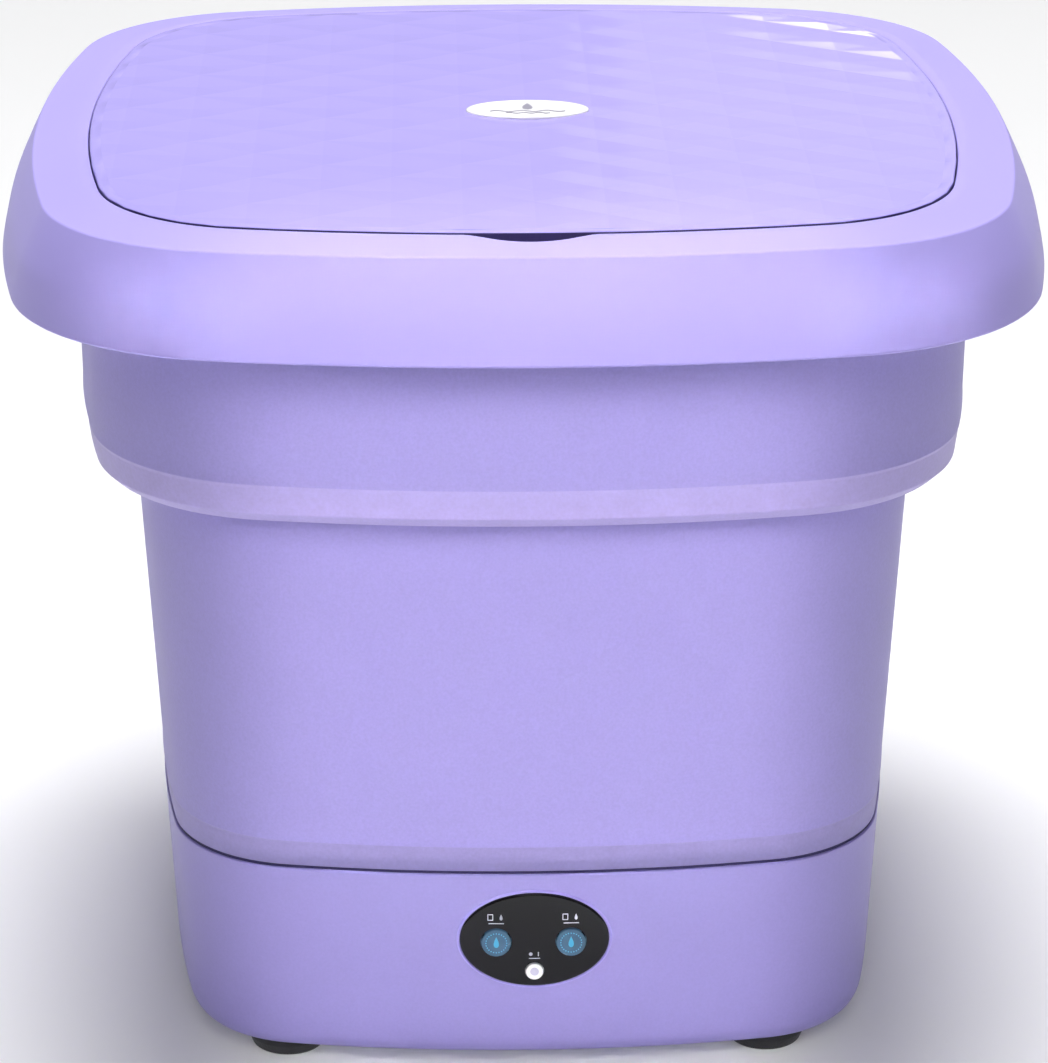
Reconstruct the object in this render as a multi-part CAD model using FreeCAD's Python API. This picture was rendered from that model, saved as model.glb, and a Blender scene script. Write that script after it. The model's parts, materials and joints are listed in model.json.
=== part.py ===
import FreeCAD, Part
import math
import os

# Portable folding mini washer: a rigid base with the drive, a soft two-tier tub
# wall that folds down, and a rigid rim with a drop-in lid.
# Millimetres, +Z up, front towards -Y.  The origin is the centre of the
# footprint, on the surface that the feet stand on.

V = FreeCAD.Vector
UP = V(0, 0, 1)
BACK = V(0, 1, 0)
RIGHT = V(1, 0, 0)

# ---- Outline family: a square with bulged sides and round corners ----------
SIDE_BULGE = 0.085          # sagitta of a side, as a share of the half width
CORNER_SHARE = 0.6          # share of the corner radius that shortens a side

# ---- Heights ----------------------------------------------------------------
BASE_Z = 8.0                # underside of the bottom cover
FLANGE_Z = 10.6             # top of the cover, underside of the housing flange
FLANGE_TOP_Z = 13.0
HUB_Z = 36.0                # foot of the tub floor's bearing hub
FLOOR_Z = 62.0              # underside of the tub floor plate
GRATE_Z = 63.5
FLOOR_TOP_Z = 65.0
SEAM_Z = 67.0               # base housing meets the soft wall
HUB_TOP_Z = 67.5
UPSTAND_Z = 76.0            # top of the floor's edge, inside the soft wall
SPLIT_Z = 123.35            # the lower wall's rings meet halfway up
LEDGE_Z = 180.0             # step from the narrow tier to the wide tier
LIP_Z = 232.5               # lowest edge of the rim skirt
CLAMP_Z = 237.0             # underside of the rim clamp ring
SOFT_FLANGE_Z = 240.0
SOFT_TOP_Z = 242.5
SEAT_Z = 250.0              # underside of the flange that the lid closes on
SEAT_TOP_Z = 252.5
RIB_Z = 253.6               # foot of the lid tray's stiffening rib
TRAY_Z = 256.0
CAVITY_TOP_Z = 257.0
LID_Z = 258.5
TOP_Z = 262.0

# ---- Walls and gaps -----------------------------------------------------------
BODY_GAP = 0.3              # between pieces that move against each other
SOFT_WALL = 1.6
TIER_WALL = 2.2

# ---- Base housing: (height, half width, corner radius) ------------------------
HOUSING = [(FLANGE_Z, 103.4, 34.0), (FLANGE_TOP_Z, 105.6, 36.0), (17.0, 107.2, 37.0),
           (SEAM_Z, 110.0, 41.5)]
HOUSING_INSIDE = [(FLANGE_TOP_Z, 103.1, 33.5), (17.0, 104.7, 34.5), (SEAM_Z, 107.5, 39.0)]
COVER = [(BASE_Z, 98.6, 30.0), (FLANGE_Z, 102.8, 33.4)]
FLANGE_HOLE = (88.0, 20.0)
FLOOR_PLATE = (107.0, 38.6)
UPSTAND = (106.6, 39.2)
UPSTAND_WALL = 2.0
HUB = 16.0

# ---- Soft wall ------------------------------------------------------------------
WALL_HALF = 108.5           # outside half width at the seam
WALL_SLOPE = 0.061          # growth of the half width per millimetre of height
WALL_CORNER = 41.0
CORNER_SLOPE = 0.097
LOWER_RING_TOP = 110.0      # the lower ring slips inside the middle ring
TIER = [(LEDGE_Z, 125.4, 55.0), (181.2, 126.8, 56.4), (183.0, 127.4, 57.0), (190.0, 129.2, 57.0),
        (SOFT_TOP_Z, 130.2, 56.0)]
TIER_FLOOR = (LEDGE_Z + TIER_WALL, 127.2, 57.0)     # outside size where the ledge's top meets the wall
LEDGE_HOLE = (116.0, 52.6)

# ---- Rim and lid ------------------------------------------------------------------
SKIRT = [(LIP_Z, 151.0, 72.0), (237.0, 150.4, 70.0), (245.0, 148.0, 64.0), (253.0, 144.6, 59.0),
         (258.0, 142.2, 57.0), (260.0, 140.0, 55.5), (TOP_Z, 127.9, 51.0)]
SKIRT_WALL = 2.6
RIM_CAVITY_TOP = (CAVITY_TOP_Z, 139.8, 55.0)
RECESS = (125.4, 49.0)
RECESS_WALL = 2.5
SEAT_HOLE = (113.0, 40.0)
THROAT = (121.5, 47.5)
THROAT_WALL = 2.5
SOFT_FLANGE = (142.0, 62.0)
CLAMP_HOLE = (131.0, 57.0)
LID = (124.0, 47.6)
TRAY = (118.0, 43.0)
SEAL_WIDTH = 4.0
RIB = (113.8, 38.8)
RIB_WALL = 2.0
RIM_SCREW_HALF = 136.5
RIM_SCREW_SPREAD = 70.0
RIM_BOSS = 4.0
RIM_SCREW_TIP_Z = 253.0

# ---- Finger notch in front of the lid ------------------------------------------------
NOTCH_WIDTH = 33.0
NOTCH_DEPTH = 5.0

# ---- Badge on the lid -----------------------------------------------------------------
BADGE = (36.0, 20.0)
BADGE_X = 2.0

# ---- Control panel on the base front ----------------------------------------------------
PANEL = (43.0, 30.0)
PANEL_X = 1.5
PANEL_Z = 45.8
PANEL_PROUD = 0.9
PANEL_THICK = 2.5
BUTTONS = {"button_wash": (-9.5, 45.2, 4.25), "button_rinse": (12.0, 45.2, 4.25),
           "button_power": (1.5, 35.75, 2.5)}
BUTTON_PROUD = 0.6
BOARD_Y = -98.5             # face of the circuit board that carries the switches
BOARD_THICK = 1.6
BOARD = (56.0, 30.0)

# ---- Drive --------------------------------------------------------------------------------
SHAFT = 4.0                 # pulsator shaft radius
RUNNING_FIT = 0.05
BEARING = 11.0
PULSATOR = 62.0
PULSATOR_Z = 68.5
MOTOR_Y = 62.0
MOTOR = 18.0
MOTOR_SHAFT = 2.5
MOTOR_Z = 30.0
MOTOR_TOP_Z = 60.0
MOTOR_WALL = 1.2
BRACKET_THICK = 2.5
BELT_Z = 18.5
BELT_WIDTH = 4.0
BELT_THICK = 2.6
DRIVEN_GROOVE = 36.0
DRIVING_GROOVE = 9.0
PULLEY_FLANGE = 1.4

# ---- Drain and power inlet --------------------------------------------------------------------
DRAIN_X = 60.0
DRAIN_Y = 58.0
DRAIN_Z = 34.0
DRAIN_PIPE = 8.0
DRAIN_BORE = 5.0
SPIGOT = 7.0
SPIGOT_COLLAR = 7.6
SPIGOT_START = 108.0
SPIGOT_END = 127.0
GRATE = 13.0
INLET_X = -60.0
INLET_Z = 30.0

# ---- Feet and screws ------------------------------------------------------------------------------
FOOT_X = 70.5
FOOT_Y = 80.0
FOOT = 12.0
FOOT_BULB = 4.6
POST_X = 92.0               # the tub floor's posts, near the side walls
POST_Y = 50.0
POST = 4.5
SIDE_BOSS = 94.0
SCREW = 1.75
SCREW_HEAD = 3.2
SMALL_SCREW = 1.25
SMALL_HEAD = 2.4
SMALL_HEAD_HEIGHT = 1.2
BOARD_HEAD_HEIGHT = 1.4


def side_arc(half, radius):
    """Radius of a bulged side and the offset of its centre from the middle."""
    sagitta = SIDE_BULGE * half
    chord = half - CORNER_SHARE * radius
    side_radius = (chord ** 2 + sagitta ** 2) / (2 * sagitta)
    return side_radius, half - side_radius


def outline(z, half, radius):
    """Closed wire of four side arcs and four corner arcs, all tangent."""
    side_radius, offset = side_arc(half, radius)
    reach = side_radius - radius
    corner = (offset + math.sqrt(2 * reach ** 2 - offset ** 2)) / 2
    join = V(corner, corner, 0) + V(corner - offset, corner, 0).normalize() * radius
    tip = corner + radius * math.sqrt(0.5)
    edges = []
    for quarter in range(4):
        turn = FreeCAD.Rotation(UP, 90 * quarter)
        marks = [(join.x, -join.y), (half, 0), (join.x, join.y), (tip, tip), (join.y, join.x)]
        spots = [turn.multVec(V(x, y, 0)) + V(0, 0, z) for x, y in marks]
        edges.append(Part.Arc(*spots[0:3]).toShape())
        edges.append(Part.Arc(*spots[2:5]).toShape())
    return Part.Wire(edges)


def side_points(half, radius, spread):
    """Points on the four sides of an outline, at each sideways offset in spread."""
    side_radius, offset = side_arc(half, radius)
    points = []
    for quarter in range(4):
        turn = FreeCAD.Rotation(UP, 90 * quarter)
        for shift in spread:
            depth = offset + math.sqrt(side_radius ** 2 - shift ** 2)
            points.append(turn.multVec(V(depth, shift, 0)))
    return points


def block(sections):
    return Part.makeLoft([outline(*section) for section in sections], True, True)


def slab(z_low, z_high, size):
    return block([(z_low, size[0], size[1]), (z_high, size[0], size[1])])


def shrink(sections, wall):
    return [(z, half - wall, radius - wall) for z, half, radius in sections]


def shell(sections, wall):
    return block(sections).cut(block(shrink(sections, wall)))


def ring(z_low, z_high, outer, inner):
    return slab(z_low, z_high, outer).cut(slab(z_low, z_high, inner))


def rod(x, y, z_low, z_high, radius):
    return Part.makeCylinder(radius, z_high - z_low, V(x, y, z_low), UP)


def rod_back(x, z, y_front, y_back, radius):
    return Part.makeCylinder(radius, y_back - y_front, V(x, y_front, z), BACK)


def tube(x, y, z_low, z_high, outer, inner):
    return rod(x, y, z_low, z_high, outer).cut(rod(x, y, z_low, z_high, inner))


def box(x, y, z):
    """Box between two limits on each axis."""
    return Part.makeBox(x[1] - x[0], y[1] - y[0], z[1] - z[0], V(x[0], y[0], z[0]))


def oval(x, y, z_low, z_high, width, depth):
    """Upright elliptic prism."""
    edge = Part.Ellipse(V(x, y, z_low), width / 2, depth / 2).toShape()
    return Part.Face(Part.Wire(edge)).extrude(V(0, 0, z_high - z_low))


def oval_front(x, z, y_front, y_back, width, height):
    """Elliptic prism that runs back from the front of the base."""
    edge = Part.Ellipse(V(0, 0, 0), width / 2, height / 2).toShape()
    prism = Part.Face(Part.Wire(edge)).extrude(V(0, 0, y_back - y_front))
    prism.rotate(V(0, 0, 0), RIGHT, -90)
    prism.translate(V(x, y_front, z))
    return prism


def fuse(shapes):
    return shapes[0].fuse(shapes[1:]).removeSplitter()


def cut(shape, tools):
    return shape.cut(tools)


def pan_screw(x, y, seat_z, length, shank, head, head_height=1.8):
    """Screw driven upwards: its head hangs below seat_z and has a cross recess."""
    slot = 0.35 * head
    depth = 0.5 * head_height
    low = seat_z - head_height
    body = fuse([rod(x, y, seat_z, seat_z + length, shank), rod(x, y, low, seat_z, head)])
    wide = box((x - 0.6 * head, x + 0.6 * head), (y - slot / 2, y + slot / 2), (low, low + depth))
    tall = box((x - slot / 2, x + slot / 2), (y - 0.6 * head, y + 0.6 * head), (low, low + depth))
    return cut(body, [wide, tall])


def lead(points, radius, bend):
    """Insulated wire: straight runs joined by tangent arcs of one bend radius."""
    spots = [V(*point) for point in points]
    edges = []
    start = spots[0]
    for before, at, after in zip(spots, spots[1:], spots[2:]):
        inward = (before - at).normalize()
        outward = (after - at).normalize()
        half_angle = inward.getAngle(outward) / 2
        reach = bend / math.tan(half_angle)
        middle = at + (inward + outward).normalize() * (bend / math.sin(half_angle) - bend)
        edges.append(Part.LineSegment(start, at + inward * reach).toShape())
        edges.append(Part.Arc(at + inward * reach, middle, at + outward * reach).toShape())
        start = at + outward * reach
    edges.append(Part.LineSegment(start, spots[-1]).toShape())
    path = Part.Wire(edges)
    profile = Part.Wire(Part.Circle(spots[0], spots[1] - spots[0], radius).toShape())
    return path.makePipeShell([profile], True, True)


# ---- Base ---------------------------------------------------------------------------

def foot_spots():
    return [(side * FOOT_X, way * FOOT_Y) for way in (-1, 1) for side in (-1, 1)]


def post_spots():
    return [(side * POST_X, way * POST_Y) for way in (-1, 1) for side in (-1, 1)]


def side_spots(reach):
    return [(reach, 0), (0, reach), (-reach, 0), (0, -reach)]


def wall_front(z):
    """Y of the housing's front face at its middle, at a height above the bottom radius."""
    low, high = HOUSING[-2], HOUSING[-1]
    share = (z - low[0]) / (high[0] - low[0])
    return -(low[1] + share * (high[1] - low[1]))


def board_posts():
    return [(PANEL_X + side * 24.5, PANEL_Z + rise) for side in (-1, 1) for rise in (-12.5, 12.5)]


def base_housing():
    hull = block(HOUSING)
    walls = hull.cut(block(HOUSING_INSIDE)).cut(slab(FLANGE_Z, FLANGE_TOP_Z, FLANGE_HOLE))
    bosses = [rod(x, y, FLANGE_Z, 22.0, 4.5) for x, y in side_spots(SIDE_BOSS)]
    posts = [rod_back(x, z, wall_front(z) + 1.0, BOARD_Y, 3.0) for x, z in board_posts()]
    posts = [post.common(hull) for post in posts]
    body = fuse([walls] + bosses + posts)
    holes = [rod(x, y, FLANGE_Z, 20.0, SCREW) for x, y in side_spots(SIDE_BOSS)]
    holes += [rod(x, y, FLANGE_Z, FLANGE_TOP_Z, SCREW) for x, y in post_spots()]
    holes += [rod_back(x, z, BOARD_Y - 5.0, BOARD_Y, SMALL_SCREW) for x, z in board_posts()]
    holes.append(oval_front(PANEL_X, PANEL_Z, -120, -100, *PANEL))
    holes += [rod(x, y, FLANGE_Z, FLANGE_TOP_Z, FOOT_BULB + 0.2) for x, y in foot_spots()]
    holes.append(rod_back(DRAIN_X, DRAIN_Z, 95, 115, SPIGOT_COLLAR))
    holes.append(rod_back(INLET_X, INLET_Z, 95, 115, 6.0))
    return cut(body, holes)


def bottom_cover():
    plate = block(COVER)
    holes = [rod(x, y, BASE_Z, FLANGE_Z, SCREW) for x, y in side_spots(SIDE_BOSS) + post_spots()]
    holes += [rod(x, y, BASE_Z, FLANGE_Z, 3.0) for x, y in foot_spots()]
    for row in (-1, 1):
        for step in range(7):
            x = -30 + 10 * step
            slot = box((x - 1.5, x + 1.5), (row * 30 - 14, row * 30 + 14), (BASE_Z, FLANGE_Z))
            holes.append(slot)
    return cut(plate, holes)


def cover_screws():
    spots = side_spots(SIDE_BOSS) + post_spots()
    return Part.makeCompound([pan_screw(x, y, BASE_Z, 12.0, SCREW, SCREW_HEAD) for x, y in spots])


def foot(x, y):
    pad = Part.makeCone(FOOT - 1.0, FOOT, 2.0, V(x, y, 0), UP)
    body = rod(x, y, 2.0, BASE_Z, FOOT)
    stem = rod(x, y, BASE_Z, FLANGE_Z, 3.0)
    bulb = Part.makeCone(FOOT_BULB, 2.4, 4.0, V(x, y, FLANGE_Z), UP)
    return fuse([pad, body, stem, bulb])


def tub_floor():
    plate = slab(FLOOR_Z, FLOOR_TOP_Z, FLOOR_PLATE)
    upstand_inside = (UPSTAND[0] - UPSTAND_WALL, UPSTAND[1] - UPSTAND_WALL)
    upstand = ring(FLOOR_TOP_Z, UPSTAND_Z, UPSTAND, upstand_inside)
    hub = rod(0, 0, HUB_Z, HUB_TOP_Z, HUB)
    posts = [rod(x, y, FLANGE_TOP_Z, FLOOR_Z, POST) for x, y in post_spots()]
    standoffs = [rod(x, y, MOTOR_Z, FLOOR_Z, 4.0) for x, y in bracket_spots()]
    body = fuse([plate, upstand, hub] + posts + standoffs)
    holes = [rod(0, 0, HUB_Z + 1.0, HUB_TOP_Z, BEARING), rod(0, 0, HUB_Z, HUB_Z + 1.0, 8.0)]
    holes += [rod(x, y, FLANGE_TOP_Z, 20.0, SCREW) for x, y in post_spots()]
    holes += [rod(x, y, MOTOR_Z, MOTOR_Z + 8.0, SCREW) for x, y in bracket_spots()]
    holes.append(rod(DRAIN_X, DRAIN_Y, FLOOR_Z, FLOOR_TOP_Z, 5.5))
    holes.append(rod(DRAIN_X, DRAIN_Y, GRATE_Z, FLOOR_TOP_Z, GRATE))
    return cut(body, holes)


def drain_grate():
    disc = rod(DRAIN_X, DRAIN_Y, GRATE_Z, FLOOR_TOP_Z, GRATE)
    holes = [rod(DRAIN_X, DRAIN_Y, GRATE_Z, FLOOR_TOP_Z, 1.3)]
    for radius, count in ((4.4, 6), (8.8, 12)):
        for step in range(count):
            turn = 2 * math.pi * step / count
            x = DRAIN_X + radius * math.cos(turn)
            y = DRAIN_Y + radius * math.sin(turn)
            holes.append(rod(x, y, GRATE_Z, FLOOR_TOP_Z, 1.3))
    return cut(disc, holes)


def drain_elbow():
    bend = V(DRAIN_X, DRAIN_Y, DRAIN_Z)
    wall_y = 98.0
    outside = [rod(DRAIN_X, DRAIN_Y, DRAIN_Z, FLOOR_Z, DRAIN_PIPE), Part.makeSphere(DRAIN_PIPE, bend),
               rod_back(DRAIN_X, DRAIN_Z, DRAIN_Y, wall_y, DRAIN_PIPE),
               rod_back(DRAIN_X, DRAIN_Z, wall_y, SPIGOT_START, SPIGOT_COLLAR),
               rod_back(DRAIN_X, DRAIN_Z, SPIGOT_START, SPIGOT_END, SPIGOT)]
    bore = [rod(DRAIN_X, DRAIN_Y, DRAIN_Z, FLOOR_Z, DRAIN_BORE), Part.makeSphere(DRAIN_BORE, bend),
            rod_back(DRAIN_X, DRAIN_Z, DRAIN_Y, SPIGOT_END, DRAIN_BORE)]
    return cut(fuse(outside), bore)


def dc_inlet():
    barrel = rod_back(INLET_X, INLET_Z, 94.0, 104.0, 6.0)
    collar = rod_back(INLET_X, INLET_Z, 100.0, 105.4, 8.5).cut(block(HOUSING))
    return cut(fuse([barrel, collar]), [rod_back(INLET_X, INLET_Z, 96.0, 105.4, 3.2)])


def dc_inlet_pin():
    return rod_back(INLET_X, INLET_Z, 96.0, 103.0, 1.05)


def dc_inlet_nut():
    corners = []
    for step in range(7):
        turn = math.radians(60 * step)
        corners.append(V(INLET_X + 8.5 * math.cos(turn), 95.4, INLET_Z + 8.5 * math.sin(turn)))
    nut = Part.Face(Part.makePolygon(corners)).extrude(V(0, 3.0, 0))
    return nut.cut(rod_back(INLET_X, INLET_Z, 95, 99, 6.0))


# ---- Control panel --------------------------------------------------------------------

def panel_fascia():
    grown = block(shrink(HOUSING, -PANEL_PROUD))
    core = block(shrink(HOUSING, PANEL_THICK - PANEL_PROUD))
    plate = oval_front(PANEL_X, PANEL_Z, -120, -95, *PANEL).common(grown).cut(core)
    holes = [rod_back(x, z, -120, -95, radius + BODY_GAP) for x, z, radius in BUTTONS.values()]
    return cut(plate, holes)


def button(x, z, radius):
    front = wall_front(z) - PANEL_PROUD - BUTTON_PROUD
    collar = wall_front(z) + PANEL_THICK - PANEL_PROUD + 2 * BODY_GAP
    cap = rod_back(x, z, front, collar, radius)
    flange = rod_back(x, z, collar, collar + 1.2, radius + 1.0)
    stem = rod_back(x, z, collar, BOARD_Y - 4.4, 1.2)
    return fuse([cap, flange, stem])


def control_board():
    width, height = BOARD
    board = box((PANEL_X - width / 2, PANEL_X + width / 2), (BOARD_Y, BOARD_Y + BOARD_THICK),
                (PANEL_Z - height / 2, PANEL_Z + height / 2))
    holes = [rod_back(x, z, BOARD_Y, BOARD_Y + BOARD_THICK, SMALL_SCREW) for x, z in board_posts()]
    return cut(board, holes)


def board_screws():
    seat = BOARD_Y + BOARD_THICK
    screws = []
    for x, z in board_posts():
        shank = rod_back(x, z, seat - 6.0, seat, SMALL_SCREW)
        top = seat + BOARD_HEAD_HEIGHT
        head = rod_back(x, z, seat, top, SMALL_HEAD)
        slot = box((x - SMALL_HEAD, x + SMALL_HEAD), (top - 0.6, top), (z - 0.3, z + 0.3))
        screws.append(fuse([shank, head]).cut(slot))
    return Part.makeCompound(screws)


def tact_switches():
    switches = []
    for x, z, radius in BUTTONS.values():
        case = box((x - 2.2, x + 2.2), (BOARD_Y - 2.2, BOARD_Y), (z - 2.2, z + 2.2))
        plunger = rod_back(x, z, BOARD_Y - 3.0, BOARD_Y - 2.2, 1.3)
        switches.append(fuse([case, plunger]))
    return Part.makeCompound(switches)


def indicator_leds():
    lamps = []
    for x in (BUTTONS["button_wash"][0], BUTTONS["button_rinse"][0]):
        z = PANEL_Z + 9.0
        lamp = rod_back(x, z, BOARD_Y - 3.0, BOARD_Y, 1.5)
        lamps.append(fuse([lamp, Part.makeSphere(1.5, V(x, BOARD_Y - 3.0, z))]))
    return Part.makeCompound(lamps)


# ---- Drive ----------------------------------------------------------------------------

def bracket_spots():
    return [(side * 24.0, MOTOR_Y + way * 20.0) for side in (-1, 1) for way in (-1, 1)]


def motor_screw_spots():
    return [(side * 11.0, MOTOR_Y) for side in (-1, 1)]


def motor_bracket():
    low = MOTOR_Z - BRACKET_THICK
    plate = box((-30, 30), (MOTOR_Y - 26, MOTOR_Y + 26), (low, MOTOR_Z))
    holes = [rod(x, y, low, MOTOR_Z, SCREW) for x, y in bracket_spots()]
    holes += [rod(x, y, low, MOTOR_Z, SMALL_SCREW) for x, y in motor_screw_spots()]
    holes.append(rod(0, MOTOR_Y, low, MOTOR_Z, 5.0))
    return cut(plate, holes)


def motor_can():
    crown = MOTOR_TOP_Z - MOTOR_WALL
    can = tube(0, MOTOR_Y, MOTOR_Z, crown, MOTOR, MOTOR - MOTOR_WALL)
    lid = tube(0, MOTOR_Y, crown, MOTOR_TOP_Z, MOTOR, MOTOR_SHAFT + RUNNING_FIT)
    return fuse([can, lid])


def motor_end_cap():
    cap = tube(0, MOTOR_Y, MOTOR_Z, 32.5, MOTOR - MOTOR_WALL, MOTOR_SHAFT + RUNNING_FIT)
    return cut(cap, [rod(x, y, MOTOR_Z, 32.5, SMALL_SCREW) for x, y in motor_screw_spots()])


def motor_magnets():
    sleeve = tube(0, MOTOR_Y, 36.0, 56.0, MOTOR - MOTOR_WALL, 15.0)
    return sleeve.cut(box((-4, 4), (MOTOR_Y - 20, MOTOR_Y + 20), (36, 56)))


def motor_armature():
    core = rod(0, MOTOR_Y, 38.0, 54.0, 14.4)
    slots = []
    for step in range(8):
        slot = box((8.0, 15.0), (-1.0, 1.0), (38, 54))
        slot.rotate(V(0, 0, 0), UP, 45 * step)
        slot.translate(V(0, MOTOR_Y, 0))
        slots.append(slot)
    commutator = rod(0, MOTOR_Y, 34.0, 38.0, 5.0)
    return fuse([core.cut(slots), commutator]).cut(rod(0, MOTOR_Y, 34, 54, MOTOR_SHAFT))


def pulley(y, groove, bore):
    """Flat belt pulley: a drum between two flanges."""
    low = BELT_Z - PULLEY_FLANGE
    high = BELT_Z + BELT_WIDTH + 2 * BODY_GAP + 0.2
    drum = rod(0, y, low, high + PULLEY_FLANGE, groove)
    lower = rod(0, y, low, BELT_Z, groove + 3.5)
    upper = rod(0, y, high, high + PULLEY_FLANGE, groove + 3.5)
    return fuse([drum, lower, upper]).cut(rod(0, y, low, high + PULLEY_FLANGE, bore))


def driven_pulley():
    wheel = pulley(0, DRIVEN_GROOVE, SHAFT)
    windows = []
    for step in range(6):
        turn = math.radians(60 * step + 30)
        windows.append(rod(22 * math.cos(turn), 22 * math.sin(turn), 10, 30, 7.0))
    return cut(wheel, windows)


def belt_loop(gap):
    """Solid hull of the belt's path, a gap outside both pulleys' drums."""
    low = BELT_Z + BODY_GAP + 0.1
    large = DRIVEN_GROOVE + gap
    small = DRIVING_GROOVE + gap
    lean = math.asin((large - small) / MOTOR_Y)
    right_low = V(large * math.cos(lean), large * math.sin(lean), low)
    right_high = V(small * math.cos(lean), MOTOR_Y + small * math.sin(lean), low)
    left_high = V(-right_high.x, right_high.y, low)
    left_low = V(-right_low.x, right_low.y, low)
    span = Part.Face(Part.makePolygon([right_low, right_high, left_high, left_low, right_low]))
    web = span.extrude(V(0, 0, BELT_WIDTH))
    ends = [rod(0, 0, low, low + BELT_WIDTH, large), rod(0, MOTOR_Y, low, low + BELT_WIDTH, small)]
    return fuse([web] + ends)


def drive_belt():
    return belt_loop(BODY_GAP + BELT_THICK).cut(belt_loop(BODY_GAP))


def bearing(z_low):
    return tube(0, 0, z_low, z_low + 7.0, BEARING, SHAFT + RUNNING_FIT)


def pulsator_shaft():
    shaft = rod(0, 0, 15.5, 78.0, SHAFT)
    return shaft.cut(rod(0, 0, 66.0, 78.0, 2.0))


def pulsator():
    low = PULSATOR_Z
    profile = [(SHAFT, low), (PULSATOR, low), (PULSATOR, low + 2.0), (44, low + 5.0), (20, low + 7.5),
               (13, low + 9.5), (SHAFT, low + 9.5)]
    points = [V(radius, 0, z) for radius, z in profile + profile[:1]]
    dish = Part.Face(Part.makePolygon(points)).revolve(V(0, 0, 0), UP, 360)
    vanes = []
    for step in range(4):
        vane = Part.makeCylinder(7.0, 38.0, V(17.0, 0, low + 4.5), RIGHT)
        nose = Part.makeSphere(7.0, V(53.0, 0, low + 4.5))
        both = vane.fuse(nose).common(box((10, 61), (-10, 10), (low, low + 20)))
        both.rotate(V(0, 0, 0), UP, 90 * step)
        vanes.append(both)
    return fuse([dish] + vanes)


def pulsator_screw():
    return fuse([rod(0, 0, 68.0, 78.0, 2.0), rod(0, 0, 78.0, 80.4, 4.6)])


def pulsator_cap():
    dome = Part.makeSphere(14.0, V(0, 0, 74.0)).common(rod(0, 0, PULSATOR_Z + 9.5, 90, 11.0))
    return dome.cut(rod(0, 0, PULSATOR_Z + 9.5, 81.4, 5.6))


# ---- Soft wall ---------------------------------------------------------------------------

def wall_section(z):
    rise = z - SEAM_Z
    return (z, WALL_HALF + WALL_SLOPE * rise, WALL_CORNER + CORNER_SLOPE * rise)


def tub_lower_ring():
    top = SPLIT_Z - BODY_GAP / 2
    corner = wall_section(top)[2]
    return shell([(SEAM_Z, WALL_HALF, WALL_CORNER), (top, LOWER_RING_TOP, corner)], SOFT_WALL)


def tub_mid_ring():
    low = wall_section(SPLIT_Z + BODY_GAP / 2)
    high = wall_section(LEDGE_Z - BODY_GAP)
    return shell([low, high], SOFT_WALL)


def tub_upper_tier():
    wall = block(TIER).cut(block(shrink([TIER_FLOOR] + TIER[3:], TIER_WALL)))
    wall = wall.cut(slab(LEDGE_Z, LEDGE_Z + TIER_WALL, LEDGE_HOLE))
    flange = ring(SOFT_FLANGE_Z, SOFT_TOP_Z, SOFT_FLANGE, THROAT)
    holes = [rod(p.x, p.y, SOFT_FLANGE_Z, SOFT_TOP_Z, SCREW) for p in rim_screw_spots()]
    return cut(fuse([wall, flange]), holes)


# ---- Rim -----------------------------------------------------------------------------------

def rim_screw_spots():
    spread = (-RIM_SCREW_SPREAD, 0, RIM_SCREW_SPREAD)
    return side_points(RIM_SCREW_HALF, SOFT_FLANGE[1], spread)


def notch_disc(z_low, z_high, grow):
    """Upright disc whose front slice is the crescent of the finger notch."""
    radius = ((NOTCH_WIDTH / 2) ** 2 + NOTCH_DEPTH ** 2) / (2 * NOTCH_DEPTH)
    centre = -RECESS[0] - NOTCH_DEPTH + radius
    return rod(0, centre, z_low, z_high, radius + grow)


def rim_frame():
    hull = block(SKIRT)
    inner = shrink(SKIRT[:4], SKIRT_WALL) + [RIM_CAVITY_TOP]
    cavity = block(inner)
    recess_wall = (RECESS[0] + RECESS_WALL, RECESS[1] + RECESS_WALL)
    throat_wall = (THROAT[0] + THROAT_WALL, THROAT[1] + THROAT_WALL)
    core = slab(SEAT_Z, CAVITY_TOP_Z, recess_wall).fuse(slab(SOFT_TOP_Z, SEAT_Z, throat_wall))
    pocket = notch_disc(SEAT_Z, CAVITY_TOP_Z, 2.5).common(cavity)
    body = hull.cut(cavity.cut([core, pocket]))
    bosses = [rod(p.x, p.y, SOFT_TOP_Z, CAVITY_TOP_Z + 0.5, RIM_BOSS) for p in rim_screw_spots()]
    voids = [slab(SEAT_TOP_Z, TOP_Z, RECESS), slab(SEAT_Z, SEAT_TOP_Z, SEAT_HOLE),
             slab(SOFT_TOP_Z, SEAT_Z, THROAT), notch_disc(SEAT_TOP_Z + 1.5, TOP_Z, 0)]
    voids += [rod(p.x, p.y, SOFT_TOP_Z, RIM_SCREW_TIP_Z + 1.0, SCREW) for p in rim_screw_spots()]
    return cut(fuse([body] + bosses), voids)


def rim_clamp_ring():
    body = ring(CLAMP_Z, SOFT_FLANGE_Z, SOFT_FLANGE, CLAMP_HOLE)
    return cut(body, [rod(p.x, p.y, CLAMP_Z, SOFT_FLANGE_Z, SCREW) for p in rim_screw_spots()])


def rim_screws():
    length = RIM_SCREW_TIP_Z - CLAMP_Z
    screws = [pan_screw(p.x, p.y, CLAMP_Z, length, SCREW, SCREW_HEAD) for p in rim_screw_spots()]
    return Part.makeCompound(screws)


# ---- Lid -------------------------------------------------------------------------------------

def lid_screw_spots():
    return side_points(102.0, 36.0, (-55.0, 55.0))


def lid_panel():
    plate = slab(LID_Z, TOP_Z, LID)
    holes = [oval(BADGE_X, 0, TOP_Z - 1.0, TOP_Z, *BADGE)]
    holes += [rod(p.x, p.y, LID_Z, LID_Z + 2.4, SMALL_SCREW) for p in lid_screw_spots()]
    return cut(plate, holes)


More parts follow.
